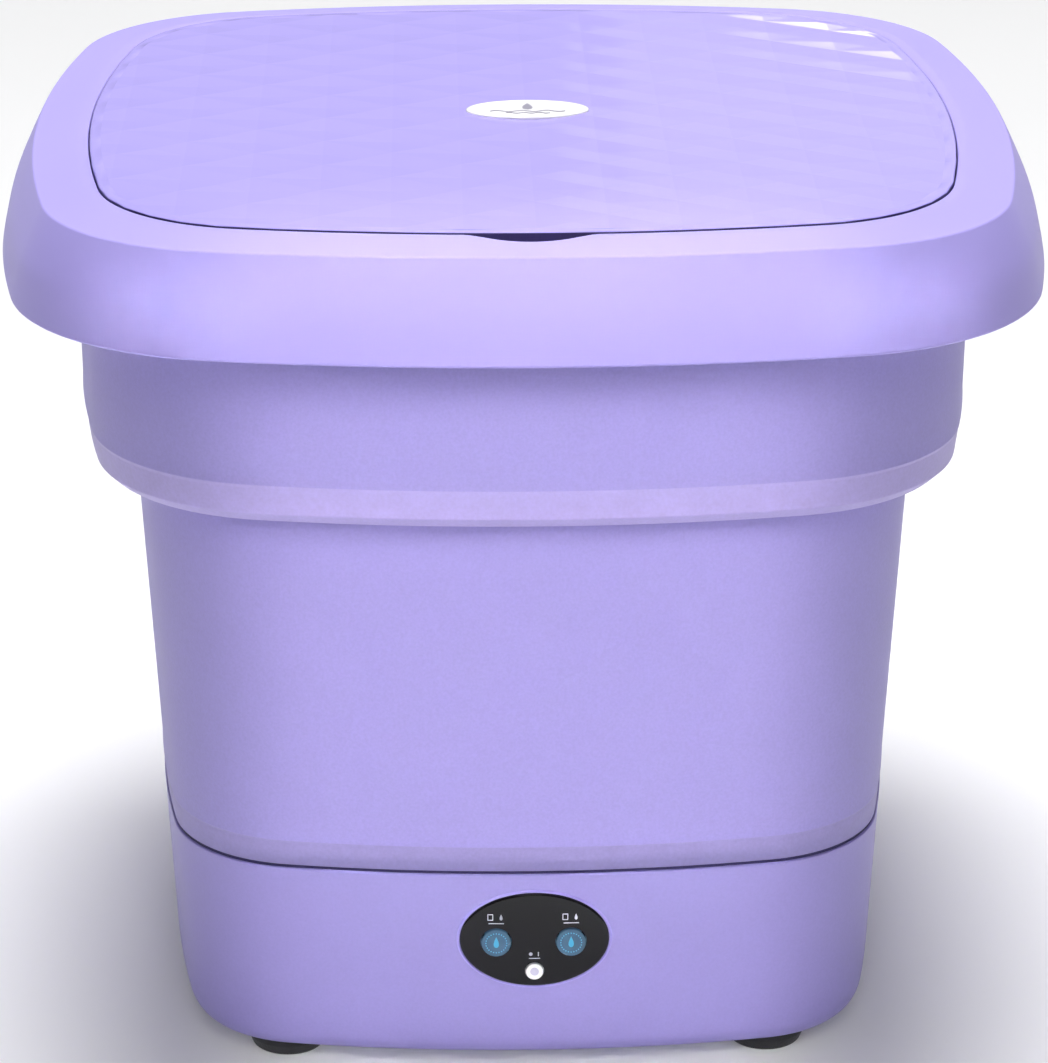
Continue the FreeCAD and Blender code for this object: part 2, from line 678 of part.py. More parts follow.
def lid_tray():
    plate = slab(TRAY_Z, LID_Z, TRAY)
    rib = ring(RIB_Z, TRAY_Z, RIB, (RIB[0] - RIB_WALL, RIB[1] - RIB_WALL))
    holes = [rod(p.x, p.y, TRAY_Z, LID_Z, SMALL_SCREW) for p in lid_screw_spots()]
    return cut(fuse([plate, rib]), holes)


def lid_seal():
    inner = (TRAY[0] - SEAL_WIDTH, TRAY[1] - SEAL_WIDTH)
    return ring(SEAT_TOP_Z + BODY_GAP, TRAY_Z, TRAY, inner)


def lid_screws():
    screws = []
    for p in lid_screw_spots():
        screws.append(pan_screw(p.x, p.y, TRAY_Z, 4.8, SMALL_SCREW, SMALL_HEAD, SMALL_HEAD_HEIGHT))
    return Part.makeCompound(screws)


def lid_badge():
    return oval(BADGE_X, 0, TOP_Z - 1.0, TOP_Z + 0.8, *BADGE)


# ---- Wiring inside the base --------------------------------------------------------------------

def power_leads():
    """From the DC inlet round the left side to the control board."""
    route = [(-60, 94, 30), (-60, 82, 30), (-76, 56, 28), (-78, 0, 26), (-74, -56, 28), (-42, -82, 40),
             (-16, -84, 46), (-16, BOARD_Y + BOARD_THICK, 46)]
    return lead(route, 1.4, 8.0)


def motor_leads():
    """From the control board round the right side to the motor."""
    route = [(16, BOARD_Y + BOARD_THICK, 46), (16, -84, 46), (44, -76, 42), (70, -46, 32), (72, 4, 28),
             (48, 40, 34), (30, 62, 44), (MOTOR, 62, 44)]
    return lead(route, 1.4, 6.0)


PARTS = {
    "base_housing": base_housing,
    "bottom_cover": bottom_cover,
    "cover_screws": cover_screws,
    "tub_floor": tub_floor,
    "drain_grate": drain_grate,
    "drain_elbow": drain_elbow,
    "dc_inlet": dc_inlet,
    "dc_inlet_nut": dc_inlet_nut,
    "dc_inlet_pin": dc_inlet_pin,
    "panel_fascia": panel_fascia,
    "control_board": control_board,
    "board_screws": board_screws,
    "tact_switches": tact_switches,
    "indicator_leds": indicator_leds,
    "power_leads": power_leads,
    "motor_leads": motor_leads,
    "motor_bracket": motor_bracket,
    "motor_can": motor_can,
    "motor_end_cap": motor_end_cap,
    "motor_magnets": motor_magnets,
    "motor_armature": motor_armature,
    "drive_belt": drive_belt,
    "driven_pulley": driven_pulley,
    "pulsator_shaft": pulsator_shaft,
    "pulsator": pulsator,
    "pulsator_screw": pulsator_screw,
    "pulsator_cap": pulsator_cap,
    "tub_lower_ring": tub_lower_ring,
    "tub_mid_ring": tub_mid_ring,
    "tub_upper_tier": tub_upper_tier,
    "rim_frame": rim_frame,
    "rim_clamp_ring": rim_clamp_ring,
    "rim_screws": rim_screws,
    "lid_panel": lid_panel,
    "lid_tray": lid_tray,
    "lid_seal": lid_seal,
    "lid_screws": lid_screws,
    "lid_badge": lid_badge,
}


def build():
    shapes = {name: make() for name, make in PARTS.items()}
    names = ("foot_front_left", "foot_front_right", "foot_rear_left", "foot_rear_right")
    for name, (x, y) in zip(names, foot_spots()):
        shapes[name] = foot(x, y)
    for name, (x, z, radius) in BUTTONS.items():
        shapes[name] = button(x, z, radius)
    shapes["bearing_lower"] = bearing(37.0)
    shapes["bearing_upper"] = bearing(53.0)
    shapes["bearing_spacer"] = tube(0, 0, 44.0, 53.0, BEARING, BEARING - 2.0)
    shapes["shaft_seal"] = tube(0, 0, 60.0, 67.0, BEARING, SHAFT + RUNNING_FIT)
    shapes["shaft_circlip"] = tube(0, 0, 34.6, 35.6, SHAFT + 3.0, SHAFT)
    shapes["motor_shaft"] = rod(0, MOTOR_Y, 16.5, 61.0, MOTOR_SHAFT)
    shapes["motor_pulley"] = pulley(MOTOR_Y, DRIVING_GROOVE, MOTOR_SHAFT)
    low = MOTOR_Z - BRACKET_THICK
    shapes["motor_screws"] = Part.makeCompound(
        [pan_screw(x, y, low, 4.8, SMALL_SCREW, 2.2, SMALL_HEAD_HEIGHT) for x, y in motor_screw_spots()])
    shapes["bracket_screws"] = Part.makeCompound(
        [pan_screw(x, y, low, 9.5, SCREW, SCREW_HEAD) for x, y in bracket_spots()])
    return shapes


def main():
    os.makedirs("parts", exist_ok=True)
    for name, shape in build().items():
        shape.exportStep("parts/%s.step" % name)
        print("%-18s %2d solids  %10.1f mm3  valid=%s"
              % (name, len(shape.Solids), shape.Volume, shape.isValid()))


main()
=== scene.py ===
import json
import math
import bmesh
import bpy
from mathutils import Matrix, Vector

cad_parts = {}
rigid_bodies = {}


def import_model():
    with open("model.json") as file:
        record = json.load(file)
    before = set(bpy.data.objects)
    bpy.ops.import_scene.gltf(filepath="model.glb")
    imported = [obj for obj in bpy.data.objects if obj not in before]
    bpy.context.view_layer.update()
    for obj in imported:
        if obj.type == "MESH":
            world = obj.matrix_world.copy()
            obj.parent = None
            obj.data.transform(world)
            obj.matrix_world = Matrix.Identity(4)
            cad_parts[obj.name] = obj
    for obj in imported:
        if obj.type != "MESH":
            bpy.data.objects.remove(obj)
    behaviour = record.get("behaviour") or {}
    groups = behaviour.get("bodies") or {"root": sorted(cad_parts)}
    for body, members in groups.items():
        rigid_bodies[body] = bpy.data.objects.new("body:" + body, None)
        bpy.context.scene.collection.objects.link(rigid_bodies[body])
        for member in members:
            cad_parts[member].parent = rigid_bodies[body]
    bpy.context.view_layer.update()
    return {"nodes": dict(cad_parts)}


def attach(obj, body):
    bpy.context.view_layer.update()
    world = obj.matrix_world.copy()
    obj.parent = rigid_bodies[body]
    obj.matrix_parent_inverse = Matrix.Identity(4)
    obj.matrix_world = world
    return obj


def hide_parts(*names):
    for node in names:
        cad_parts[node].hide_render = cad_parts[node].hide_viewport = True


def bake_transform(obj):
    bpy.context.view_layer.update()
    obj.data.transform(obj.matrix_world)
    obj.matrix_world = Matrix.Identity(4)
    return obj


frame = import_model()

# Sizes are in millimetres.
MM = 0.001
SIDE_BULGE = 0.085          # sagitta of a side, as a share of the half width
CORNER_SHARE = 0.6          # share of the corner radius that shortens a side
SIDE_STEPS = 60
CORNER_STEPS = 22
MIDDLE_PACKING = (0.35, 0.65)   # linear and cubic shares of the spacing along a side

SEAM_Z = 67.0               # base meets the soft wall
LEDGE_Z = 178.4             # step from the narrow tier to the wide tier
TOP_Z = 262.0
SEAT_TOP_Z = 252.5
RECESS = (125.4, 49.0)      # half width and corner radius of the recess in the rim
NOTCH_WIDTH = 33.0
NOTCH_DEPTH = 5.0
NOTCH_FLOOR_Z = 254.0
LID = (125.05, 48.6)
LID_Z = 258.5
BADGE = (36.0, 20.0)
BADGE_X = 2.0
PANEL = (43.0, 30.0)
PANEL_X = 1.5
PANEL_Z = 45.8
PANEL_PROUD = 0.9
PANEL_THICK = 2.5
BODY_GAP = 0.3
FOOT_X = 70.5
FOOT_Y = 80.0
SIDE_BOSS = 94.0
POST_X = 92.0
POST_Y = 50.0


# ---- Outline family ----

def arcs(half, radius):
    """Side arc radius, its centre offset, and the corner arc's centre."""
    sagitta = SIDE_BULGE * half
    chord = half - CORNER_SHARE * radius
    side = (chord ** 2 + sagitta ** 2) / (2 * sagitta)
    offset = half - side
    corner = (offset + math.sqrt(2 * (side - radius) ** 2 - offset ** 2)) / 2
    return side, offset, corner


def outline(half, radius):
    """Points round the outline; denser at the middle of each side."""
    side, offset, corner = arcs(half, radius)
    start = math.atan2(corner, corner - offset)
    reach = corner + radius * math.sin(start)
    even, packed = MIDDLE_PACKING
    quarter = []
    for step in range(SIDE_STEPS + 1):
        share = 2 * step / SIDE_STEPS - 1
        shift = reach * (even * share + packed * share ** 3)
        quarter.append((offset + math.sqrt(side ** 2 - shift ** 2), shift))
    for step in range(1, CORNER_STEPS):
        turn = start + (math.pi / 2 - 2 * start) * step / CORNER_STEPS
        quarter.append((corner + radius * math.cos(turn), corner + radius * math.sin(turn)))
    return (quarter + [(-y, x) for x, y in quarter] + [(-x, -y) for x, y in quarter]
            + [(y, -x) for x, y in quarter])


def outward(x, y, half, radius):
    """Unit normal of the outline nearest to a point."""
    _, offset, corner = arcs(half, radius)
    start = math.atan2(corner, corner - offset)
    across, along = abs(x), abs(y)
    swap = along > across
    if swap:
        across, along = along, across
    if math.atan2(along, across - offset) < start:
        normal = Vector((across - offset, along))
    else:
        normal = Vector((across - corner, along - corner))
    normal.normalize()
    if swap:
        normal = Vector((normal.y, normal.x))
    return Vector((math.copysign(normal.x, x), math.copysign(normal.y, y)))


# ---- Profile rows: (z, half, corner radius) ----

GUARD = 0.3                 # largest distance from a fillet to its support row
GUARD_SHARE = 0.08          # and its largest share of the neighbouring run
CUT_SHARE = 0.4             # largest share of a run that a fillet may take


def smooth(sections, steps=5):
    """Catmull-Rom rows through the given sections."""
    spots = [Vector(s) for s in sections]
    ends = [2 * spots[0] - spots[1]] + spots + [2 * spots[-1] - spots[-2]]
    rows = []
    for a, b, c, d in zip(ends, ends[1:], ends[2:], ends[3:]):
        for step in range(steps):
            t = step / steps
            rows.append(0.5 * ((2 * b) + (c - a) * t + (2 * a - 5 * b + 4 * c - d) * t ** 2
                               + (3 * b - a - 3 * c + d) * t ** 3))
    rows.append(spots[-1])
    return rows


def straight(low, high, steps):
    low, high = Vector(low), Vector(high)
    return [low.lerp(high, step / steps) for step in range(steps + 1)]


def rounded(points, closed=True, steps=4):
    """Rows round a profile (z, half, corner, fillet), each corner an arc with a support row."""
    rows = []
    count = len(points)
    for index, point in enumerate(points):
        here = Vector(point[:3])
        fillet = point[3] if len(point) > 3 else 0
        if fillet == 0 or (not closed and index in (0, count - 1)):
            rows.append(here)
            continue
        back = Vector(points[index - 1][:3]) - here
        ahead = Vector(points[(index + 1) % count][:3]) - here
        back_run = math.hypot(back[0], back[1])
        ahead_run = math.hypot(ahead[0], ahead[1])
        cosine = (back[0] * ahead[0] + back[1] * ahead[1]) / (back_run * ahead_run)
        angle = math.acos(max(-1.0, min(1.0, cosine)))
        cut = min(fillet / math.tan(angle / 2), CUT_SHARE * back_run, CUT_SHARE * ahead_run)
        first = here + back * (cut / back_run)
        last = here + ahead * (cut / ahead_run)
        weight = math.sin(angle / 2)
        guard = min(GUARD, GUARD_SHARE * back_run, GUARD_SHARE * ahead_run)
        rows.append(first + back * (guard / back_run))
        for step in range(steps + 1):
            t = step / steps
            parts = ((1 - t) ** 2, 2 * t * (1 - t) * weight, t ** 2)
            rows.append((first * parts[0] + here * parts[1] + last * parts[2]) / sum(parts))
        rows.append(last + ahead * (guard / ahead_run))
    return rows


# ---- Mesh helpers ----

LATHE_STEPS = 64
CAP_SHARES = (0.8, 0.55, 0.3)   # rings between the edge of a cap and its middle
SHARP_ANGLE = 40


def new_piece(name, bm, mats, smooth_faces=True):
    mesh = bpy.data.meshes.new(name)
    bmesh.ops.recalc_face_normals(bm, faces=bm.faces)
    bm.to_mesh(mesh)
    bm.free()
    obj = bpy.data.objects.new(name, mesh)
    bpy.context.scene.collection.objects.link(obj)
    for mat in mats if isinstance(mats, (list, tuple)) else [mats]:
        mesh.materials.append(mat)
    if smooth_faces:
        for face in mesh.polygons:
            face.use_smooth = True
    return obj


def add_ring(bm, spots):
    return [bm.verts.new(Vector(spot) * MM) for spot in spots]


def ring_faces(bm, one, two, index=0):
    count = len(one)
    for step in range(count):
        after = (step + 1) % count
        face = bm.faces.new((one[step], one[after], two[after], two[step]))
        face.material_index = index


def join_rings(bm, rings, closed=False):
    for one, two in zip(rings, rings[1:] + rings[:1] if closed else rings[1:]):
        ring_faces(bm, one, two)


def cap_faces(bm, loop, z):
    """Closes a loop with shrinking rings and a fan."""
    centre = Vector((0, 0, z * MM))
    last = loop
    for share in CAP_SHARES:
        ring = []
        for vert in loop:
            spot = centre.lerp(vert.co, share)
            spot.z = z * MM
            ring.append(bm.verts.new(spot))
        ring_faces(bm, last, ring)
        last = ring
    middle = bm.verts.new(centre)
    for step in range(len(last)):
        bm.faces.new((last[step], last[(step + 1) % len(last)], middle))


def loft(name, rows, mats, closed=True, caps=False, shape=None, band=None):
    """Lofts rows; shape(x, y, row) may move points, band(z, half) picks a material slot."""
    bm = bmesh.new()
    rings = []
    for row in rows:
        rings.append(add_ring(bm, [shape(x, y, row) if shape else (x, y, row[0])
                                   for x, y in outline(row[1], row[2])]))
    pairs = list(zip(rings, rings[1:]))
    if closed:
        pairs.append((rings[-1], rings[0]))
    for number, (one, two) in enumerate(pairs):
        row = rows[number]
        ahead = rows[(number + 1) % len(rows)]
        index = band((row[0] + ahead[0]) / 2, (row[1] + ahead[1]) / 2) if band else 0
        ring_faces(bm, one, two, index)
    if caps:
        cap_faces(bm, rings[0], rows[0][0])
        cap_faces(bm, rings[-1], rows[-1][0])
    return new_piece(name, bm, mats)


def turns(steps):
    return [2 * math.pi * step / steps for step in range(steps)]


def circle_ring(bm, radius, z, steps):
    return add_ring(bm, [(radius * math.cos(turn), radius * math.sin(turn), z)
                         for turn in turns(steps)])


def lathe(name, profile, mats, centre, axis="Z"):
    """Turns (radius, height) points about Z, or about -Y if the axis is "Y"."""
    bm = bmesh.new()
    rings = [circle_ring(bm, radius, height, LATHE_STEPS if radius else 1)
             for radius, height in profile]
    for one, two in zip(rings, rings[1:]):
        if len(one) == 1 or len(two) == 1:
            tip, loop = (one[0], two) if len(one) == 1 else (two[0], one)
            for step in range(LATHE_STEPS):
                bm.faces.new((tip, loop[step], loop[(step + 1) % LATHE_STEPS]))
        else:
            ring_faces(bm, one, two)
    if axis == "Y":
        bmesh.ops.rotate(bm, verts=bm.verts, cent=(0, 0, 0),
                         matrix=Matrix.Rotation(math.pi / 2, 3, "X"))
    bmesh.ops.translate(bm, verts=bm.verts, vec=Vector(centre) * MM)
    return new_piece(name, bm, mats)


def turned(points):
    """Rounds the corners of an open (radius, height, fillet) profile."""
    rows = rounded([(p[1], p[0], 0, p[2] if len(p) > 2 else 0) for p in points], closed=False)
    return [(row[1], row[0]) for row in rows]


def carve(obj, cutters):
    """Cuts the cutters out of a piece and keeps its hard edges sharp."""
    for cutter in cutters:
        mod = obj.modifiers.new("cut", "BOOLEAN")
        mod.operation = "DIFFERENCE"
        mod.solver = "EXACT"
        mod.object = cutter
    deps = bpy.context.evaluated_depsgraph_get()
    mesh = bpy.data.meshes.new_from_object(obj.evaluated_get(deps))
    obj.modifiers.clear()
    obj.data = mesh
    for cutter in cutters:
        bpy.data.objects.remove(cutter)
    mesh.set_sharp_from_angle(angle=math.radians(SHARP_ANGLE))


def prism(name, loop, low, high, axis="Z"):
    """Cutter: a loop of (x, y) points drawn out along Z, or of (x, z) points along Y."""
    bm = bmesh.new()
    rings = [add_ring(bm, [(u, v, level) if axis == "Z" else (u, level, v) for u, v in loop])
             for level in (low, high)]
    ring_faces(bm, *rings)
    bm.faces.new(rings[0])
    bm.faces.new(list(reversed(rings[1])))
    return new_piece(name, bm, [], smooth_faces=False)


def ellipse(x, y, width, height, steps=72):
    return [(x + width / 2 * math.cos(turn), y + height / 2 * math.sin(turn))
            for turn in turns(steps)]


def circle(x, y, radius, steps=40):
    return ellipse(x, y, 2 * radius, 2 * radius, steps)


# ---- Materials ----

TINT_STOPS = (0.3, 0.7)         # noise values that get the darkest and the palest tone
CLOUD_DETAIL = 3
GRAIN_DETAIL = 2
SPECK_LIFT = 0.6                # pale specks, as a share of the dark ones
COAT_ROUGHNESS = 0.08
SHEEN_ROUGHNESS = 0.5
LEAST_ROUGHNESS = 0.02
SUBSURFACE_RADIUS = (1.0, 0.8, 1.2)
SUBSURFACE_SCALE = 0.002


def linear(red, green, blue):
    def one(value):
        value /= 255
        return value / 12.92 if value <= 0.04045 else ((value + 0.055) / 1.055) ** 2.4
    return (one(red), one(green), one(blue), 1.0)


def add_node(nodes, kind, values=(), **settings):
    """A new node with its settings, and values for its inputs."""
    node = nodes.new("ShaderNode" + kind)
    for setting, value in settings.items():
        setattr(node, setting, value)
    set_inputs(node, values)
    return node


def set_inputs(node, values):
    for socket, value in dict(values).items():
        node.inputs[socket].default_value = value


def two_tones(nodes, low, high):
    ramp = add_node(nodes, "ValToRGB")
    for element, stop, tone in zip(ramp.color_ramp.elements, TINT_STOPS, (low, high)):
        element.position = stop
        element.color = tone
    return ramp


def surface(name, color, rough, spread, scale, grain, bump, depth, speck=0.0, coat=0.0, metal=0.0,
            sheen=0.0, specular=0.5, rough_spread=0.06, subsurface=0.0):
    """Moulded or soft surface: cloudy tint, fine grain, uneven gloss, optional specks."""
    mat = bpy.data.materials.new(name)
    mat.use_nodes = True
    nodes, links = mat.node_tree.nodes, mat.node_tree.links
    shader = nodes["Principled BSDF"]
    set_inputs(shader, {"Metallic": metal, "Specular IOR Level": specular, "Coat Weight": coat,
                        "Coat Roughness": COAT_ROUGHNESS, "Sheen Weight": sheen,
                        "Sheen Roughness": SHEEN_ROUGHNESS, "Subsurface Weight": subsurface,
                        "Subsurface Radius": SUBSURFACE_RADIUS,
                        "Subsurface Scale": SUBSURFACE_SCALE})
    place = add_node(nodes, "TexCoord").outputs["Object"]
    cloud = add_node(nodes, "TexNoise", {"Scale": scale, "Detail": CLOUD_DETAIL})
    links.new(place, cloud.inputs["Vector"])
    ramp = two_tones(nodes, [c * (1 - spread) for c in color[:3]] + [1],
                     [min(1, c * (1 + spread)) for c in color[:3]] + [1])
    links.new(cloud.outputs["Fac"], ramp.inputs["Fac"])
    tone = ramp.outputs["Color"]
    fine = add_node(nodes, "TexNoise", {"Scale": grain, "Detail": GRAIN_DETAIL})
    links.new(place, fine.inputs["Vector"])
    if speck:
        dots = two_tones(nodes, [1 - speck] * 3 + [1], [1 + speck * SPECK_LIFT] * 3 + [1])
        links.new(fine.outputs["Fac"], dots.inputs["Fac"])
        mix = add_node(nodes, "Mix", {"Factor": 1.0}, data_type="RGBA", blend_type="MULTIPLY")
        links.new(tone, mix.inputs["A"])
        links.new(dots.outputs["Color"], mix.inputs["B"])
        tone = mix.outputs["Result"]
    links.new(tone, shader.inputs["Base Color"])
    gloss = add_node(nodes, "MapRange", {"To Min": max(LEAST_ROUGHNESS, rough - rough_spread),
                                         "To Max": min(1, rough + rough_spread)})
    links.new(cloud.outputs["Fac"], gloss.inputs["Value"])
    links.new(gloss.outputs["Result"], shader.inputs["Roughness"])
    relief = add_node(nodes, "Bump", {"Strength": bump, "Distance": depth})
    links.new(fine.outputs["Fac"], relief.inputs["Height"])
    links.new(relief.outputs["Normal"], shader.inputs["Normal"])
    return mat


RIGID = (0.405, 0.352, 0.78, 1)
SOFT = (0.362, 0.315, 0.685, 1)
# colour of the painted shadow in the seam and on the lid's side
SHADOW = (0.035, 0.028, 0.095, 1)
mats = {
    "rim": surface("rim_plastic", RIGID, 0.45, 0.015, 18, 1400, 0.06, 0.00006, specular=0.3),
    "lid": surface("lid_plastic_relief", (0.40, 0.348, 0.77, 1), 0.06, 0.01, 22, 1600, 0.012,
                   0.00001, rough_spread=0.015, specular=0.2),
    "gap": surface("shadow_strip", SHADOW, 0.6, 0.06, 60, 900, 0.1, 0.0001, specular=0.2),
    # dark strip on the lid's side: painted shadow of the gap round the lid
    "lid_gap": surface("lid_side_painted_shadow", SHADOW, 0.6, 0.06, 60, 900, 0.1, 0.0001, specular=0.2),
    "wall": surface("soft_wall", SOFT, 0.62, 0.012, 60, 1250, 0.30, 0.00014, speck=0.05,
                    sheen=0.15, subsurface=0.05),
    # the band's paler colour is painted light, and it also covers the ledge's shaded underside
    "band": surface("soft_wall_painted_light_band", (0.43, 0.366, 0.72, 1), 0.55, 0.03, 160, 1000, 0.3, 0.00015,
                    speck=0.05, sheen=0.15),
    "foot_band": surface("soft_wall_foot", (0.335, 0.292, 0.60, 1), 0.6, 0.03, 160, 1000, 0.3,
                         0.00015, speck=0.05, sheen=0.1),
    "base": surface("base_plastic", (0.333, 0.289, 0.645, 1), 0.45, 0.02, 24, 1200, 0.08, 0.00008,
                    speck=0.03),
    "inner": surface("inner_plastic", (0.365, 0.32, 0.70, 1), 0.4, 0.03, 30, 1100, 0.06, 0.00008),
    "white": surface("white_plastic_gloss", (0.9, 0.89, 0.91, 1), 0.22, 0.015, 30, 900, 0.03,
                     0.00005, coat=0.3),
    "mark": surface("grey_mark", (0.30, 0.29, 0.36, 1), 0.4, 0.05, 90, 1500, 0.05, 0.00004),
    "print": surface("pale_print", (0.62, 0.64, 0.70, 1), 0.5, 0.08, 300, 2500, 0.05, 0.00003),
    "black": surface("panel_gloss", (0.005, 0.005, 0.006, 1), 0.16, 0.25, 60, 700, 0.02, 0.00004,
                     coat=0.12, rough_spread=0.04, specular=0.3),
    "blue": surface("button_blue", linear(62, 97, 123), 0.25, 0.10, 260, 1400, 0.04, 0.00004,
                    coat=0.4),
    "drop": surface("droplet_blue", linear(54, 158, 202), 0.3, 0.05, 200, 1500, 0.03, 0.00003),
    "lilac_grey": surface("power_centre", linear(196, 190, 214), 0.35, 0.05, 200, 1500, 0.04,
                          0.00004),
    "rubber": surface("foot_rubber", (0.02, 0.02, 0.022, 1), 0.55, 0.2, 120, 1300, 0.5, 0.00025),
    "belt": surface("belt_rubber", (0.025, 0.025, 0.027, 1), 0.6, 0.2, 90, 800, 0.6, 0.0003),
    "seal": surface("seal_silicone", (0.66, 0.66, 0.69, 1), 0.45, 0.04, 60, 900, 0.2, 0.00012,
                    subsurface=0.1),
    "steel": surface("plated_steel", (0.60, 0.60, 0.61, 1), 0.28, 0.06, 120, 1800, 0.12, 0.00006,
                     metal=1.0),
    "iron": surface("dark_iron", (0.09, 0.09, 0.095, 1), 0.5, 0.2, 160, 1200, 0.4, 0.0002,
                    metal=0.7),
    "black_plastic": surface("black_moulding", (0.028, 0.028, 0.03, 1), 0.42, 0.15, 60, 900, 0.15,
                             0.0001),
    "board": surface("solder_mask", (0.015, 0.16, 0.05, 1), 0.35, 0.12, 200, 1500, 0.1, 0.00008),
    "lamp": surface("lamp_lens", (0.72, 0.78, 0.86, 1), 0.12, 0.04, 150, 900, 0.02, 0.00003,
                    coat=0.5),
    "wire": surface("wire_sleeve", (0.42, 0.03, 0.03, 1), 0.4, 0.1, 150, 1200, 0.08, 0.00006),
}

FACET_PAINTED_SHADE = 0.55               # painted light and shade: change of tone per unit of lean
FACET_SHADE_LIMITS = (0.95, 1.05)
# the lid's side strip is painted shadow, darkest at the front where the gap is in shade
STRIP_BACK = (0.30, 0.26, 0.56, 1)
STRIP_FADE = (-0.105, -0.06)    # metres along Y, from dark painted shadow at the front to lilac


def tone_parts(mat):
    """Nodes, links, shader and the socket that its base colour comes from."""
    nodes, links = mat.node_tree.nodes, mat.node_tree.links
    shader = nodes["Principled BSDF"]
    return nodes, links, shader, shader.inputs["Base Color"].links[0].from_socket


def shade_facets_by_lean(mat, gain):
    """Paints light and shade on the facets: paler or darker by the way they lean in X and Y."""
    nodes, links, shader, tone = tone_parts(mat)
    place = add_node(nodes, "TexCoord")
    lean = add_node(nodes, "VectorMath", {1: (gain, gain, 0)}, operation="DOT_PRODUCT")
    links.new(place.outputs["Normal"], lean.inputs[0])
    shift = add_node(nodes, "Math", {1: 1.0}, operation="ADD")
    links.new(lean.outputs["Value"], shift.inputs[0])
    limit = add_node(nodes, "Clamp", zip(("Min", "Max"), FACET_SHADE_LIMITS))
    links.new(shift.outputs["Value"], limit.inputs["Value"])
    lean_shade = add_node(nodes, "VectorMath", operation="SCALE")
    links.new(tone, lean_shade.inputs[0])
    links.new(limit.outputs["Result"], lean_shade.inputs["Scale"])
    links.new(lean_shade.outputs["Vector"], shader.inputs["Base Color"])


def fade_back(mat, color, start, end):
    """Blends a material towards another colour from front to back; here it fades the painted
    shadow on the lid's side.
    """
    nodes, links, shader, tone = tone_parts(mat)
    place = add_node(nodes, "TexCoord")
    split = add_node(nodes, "SeparateXYZ")
    links.new(place.outputs["Object"], split.inputs[0])
    share = add_node(nodes, "MapRange", {"From Min": start, "From Max": end})
    links.new(split.outputs["Y"], share.inputs["Value"])
    mix = add_node(nodes, "Mix", {"B": color}, data_type="RGBA", blend_type="MIX")
    links.new(tone, mix.inputs["A"])
    links.new(share.outputs["Result"], mix.inputs["Factor"])
    links.new(mix.outputs["Result"], shader.inputs["Base Color"])


# painted light and shade on the lid's facets, by the way each one leans
shade_facets_by_lean(mats["lid"], FACET_PAINTED_SHADE)
fade_back(mats["lid_gap"], STRIP_BACK, *STRIP_FADE)


# ---- Rim ----

SKIRT = [(235.6, 150.3, 67.6), (245.0, 148.0, 63.0), (253.0, 144.6, 59.0), (258.0, 142.2, 57.0)]
SKIRT_INSIDE = [(253.0, 142.0, 56.4), (245.0, 145.4, 61.0), (237.0, 147.8, 65.4),
                (233.6, 148.5, 66.6)]
TOP_OUTER = (260.0, 140.0, 55.5)
TOP_INNER = (TOP_Z, 127.9, 51.0)
TOP_FALL = (TOP_INNER[0] - TOP_OUTER[0]) / (TOP_OUTER[1] - TOP_INNER[1])
RECESS_EDGE_Z = 261.5           # top of the recess wall
SEAT_Z = 250.0
CAVITY_TOP_Z = 257.0
SOFT_TOP_Z = 242.5              # top of the soft wall's flange
SEAT_HOLE = (113.0, 40.0)
THROAT = (121.5, 47.5)
SOCKET = (124.0, 50.0)
CAVITY = (127.9, 51.5)
TOP_BAND = 1.4                  # rows this far below the top face move with it
TOP_LIMIT = 139.0
NOTCH_FADE = (127.0, 11.0)      # half width where the notch starts to fade, and over how much
FRONT_Y = -100.0


def notch_reach(x):
    """How far the finger notch goes forward of the recess wall at x."""
    if abs(x) >= NOTCH_WIDTH / 2:
        return 0.0
    radius = ((NOTCH_WIDTH / 2) ** 2 + NOTCH_DEPTH ** 2) / (2 * NOTCH_DEPTH)
    front = RECESS[0] + NOTCH_DEPTH - radius + math.sqrt(radius ** 2 - x ** 2)
    side, offset, _ = arcs(*RECESS)
    return max(0.0, front - offset - math.sqrt(side ** 2 - x ** 2))


def top_height(half):
    return TOP_Z - max(0.0, half - TOP_INNER[1]) * TOP_FALL


def rim_shape(x, y, row):
    """Moves the recess wall and the top face forward at the finger notch."""
    z, half = row[0], row[1]
    on_top = half >= RECESS[0] - 0.01 and z > top_height(half) - TOP_BAND and half < TOP_LIMIT
    on_wall = abs(half - RECESS[0]) < 0.01 and z >= NOTCH_FLOOR_Z - 0.01
    if y > FRONT_Y or not (on_top or on_wall):
        return (x, y, z)
    fade = 1 - max(0.0, min(1.0, (half - NOTCH_FADE[0]) / NOTCH_FADE[1]))
    move = notch_reach(x) * fade
    drop = top_height(half) - z
    return (x, y - move, top_height(half + move) - drop if on_top else z)


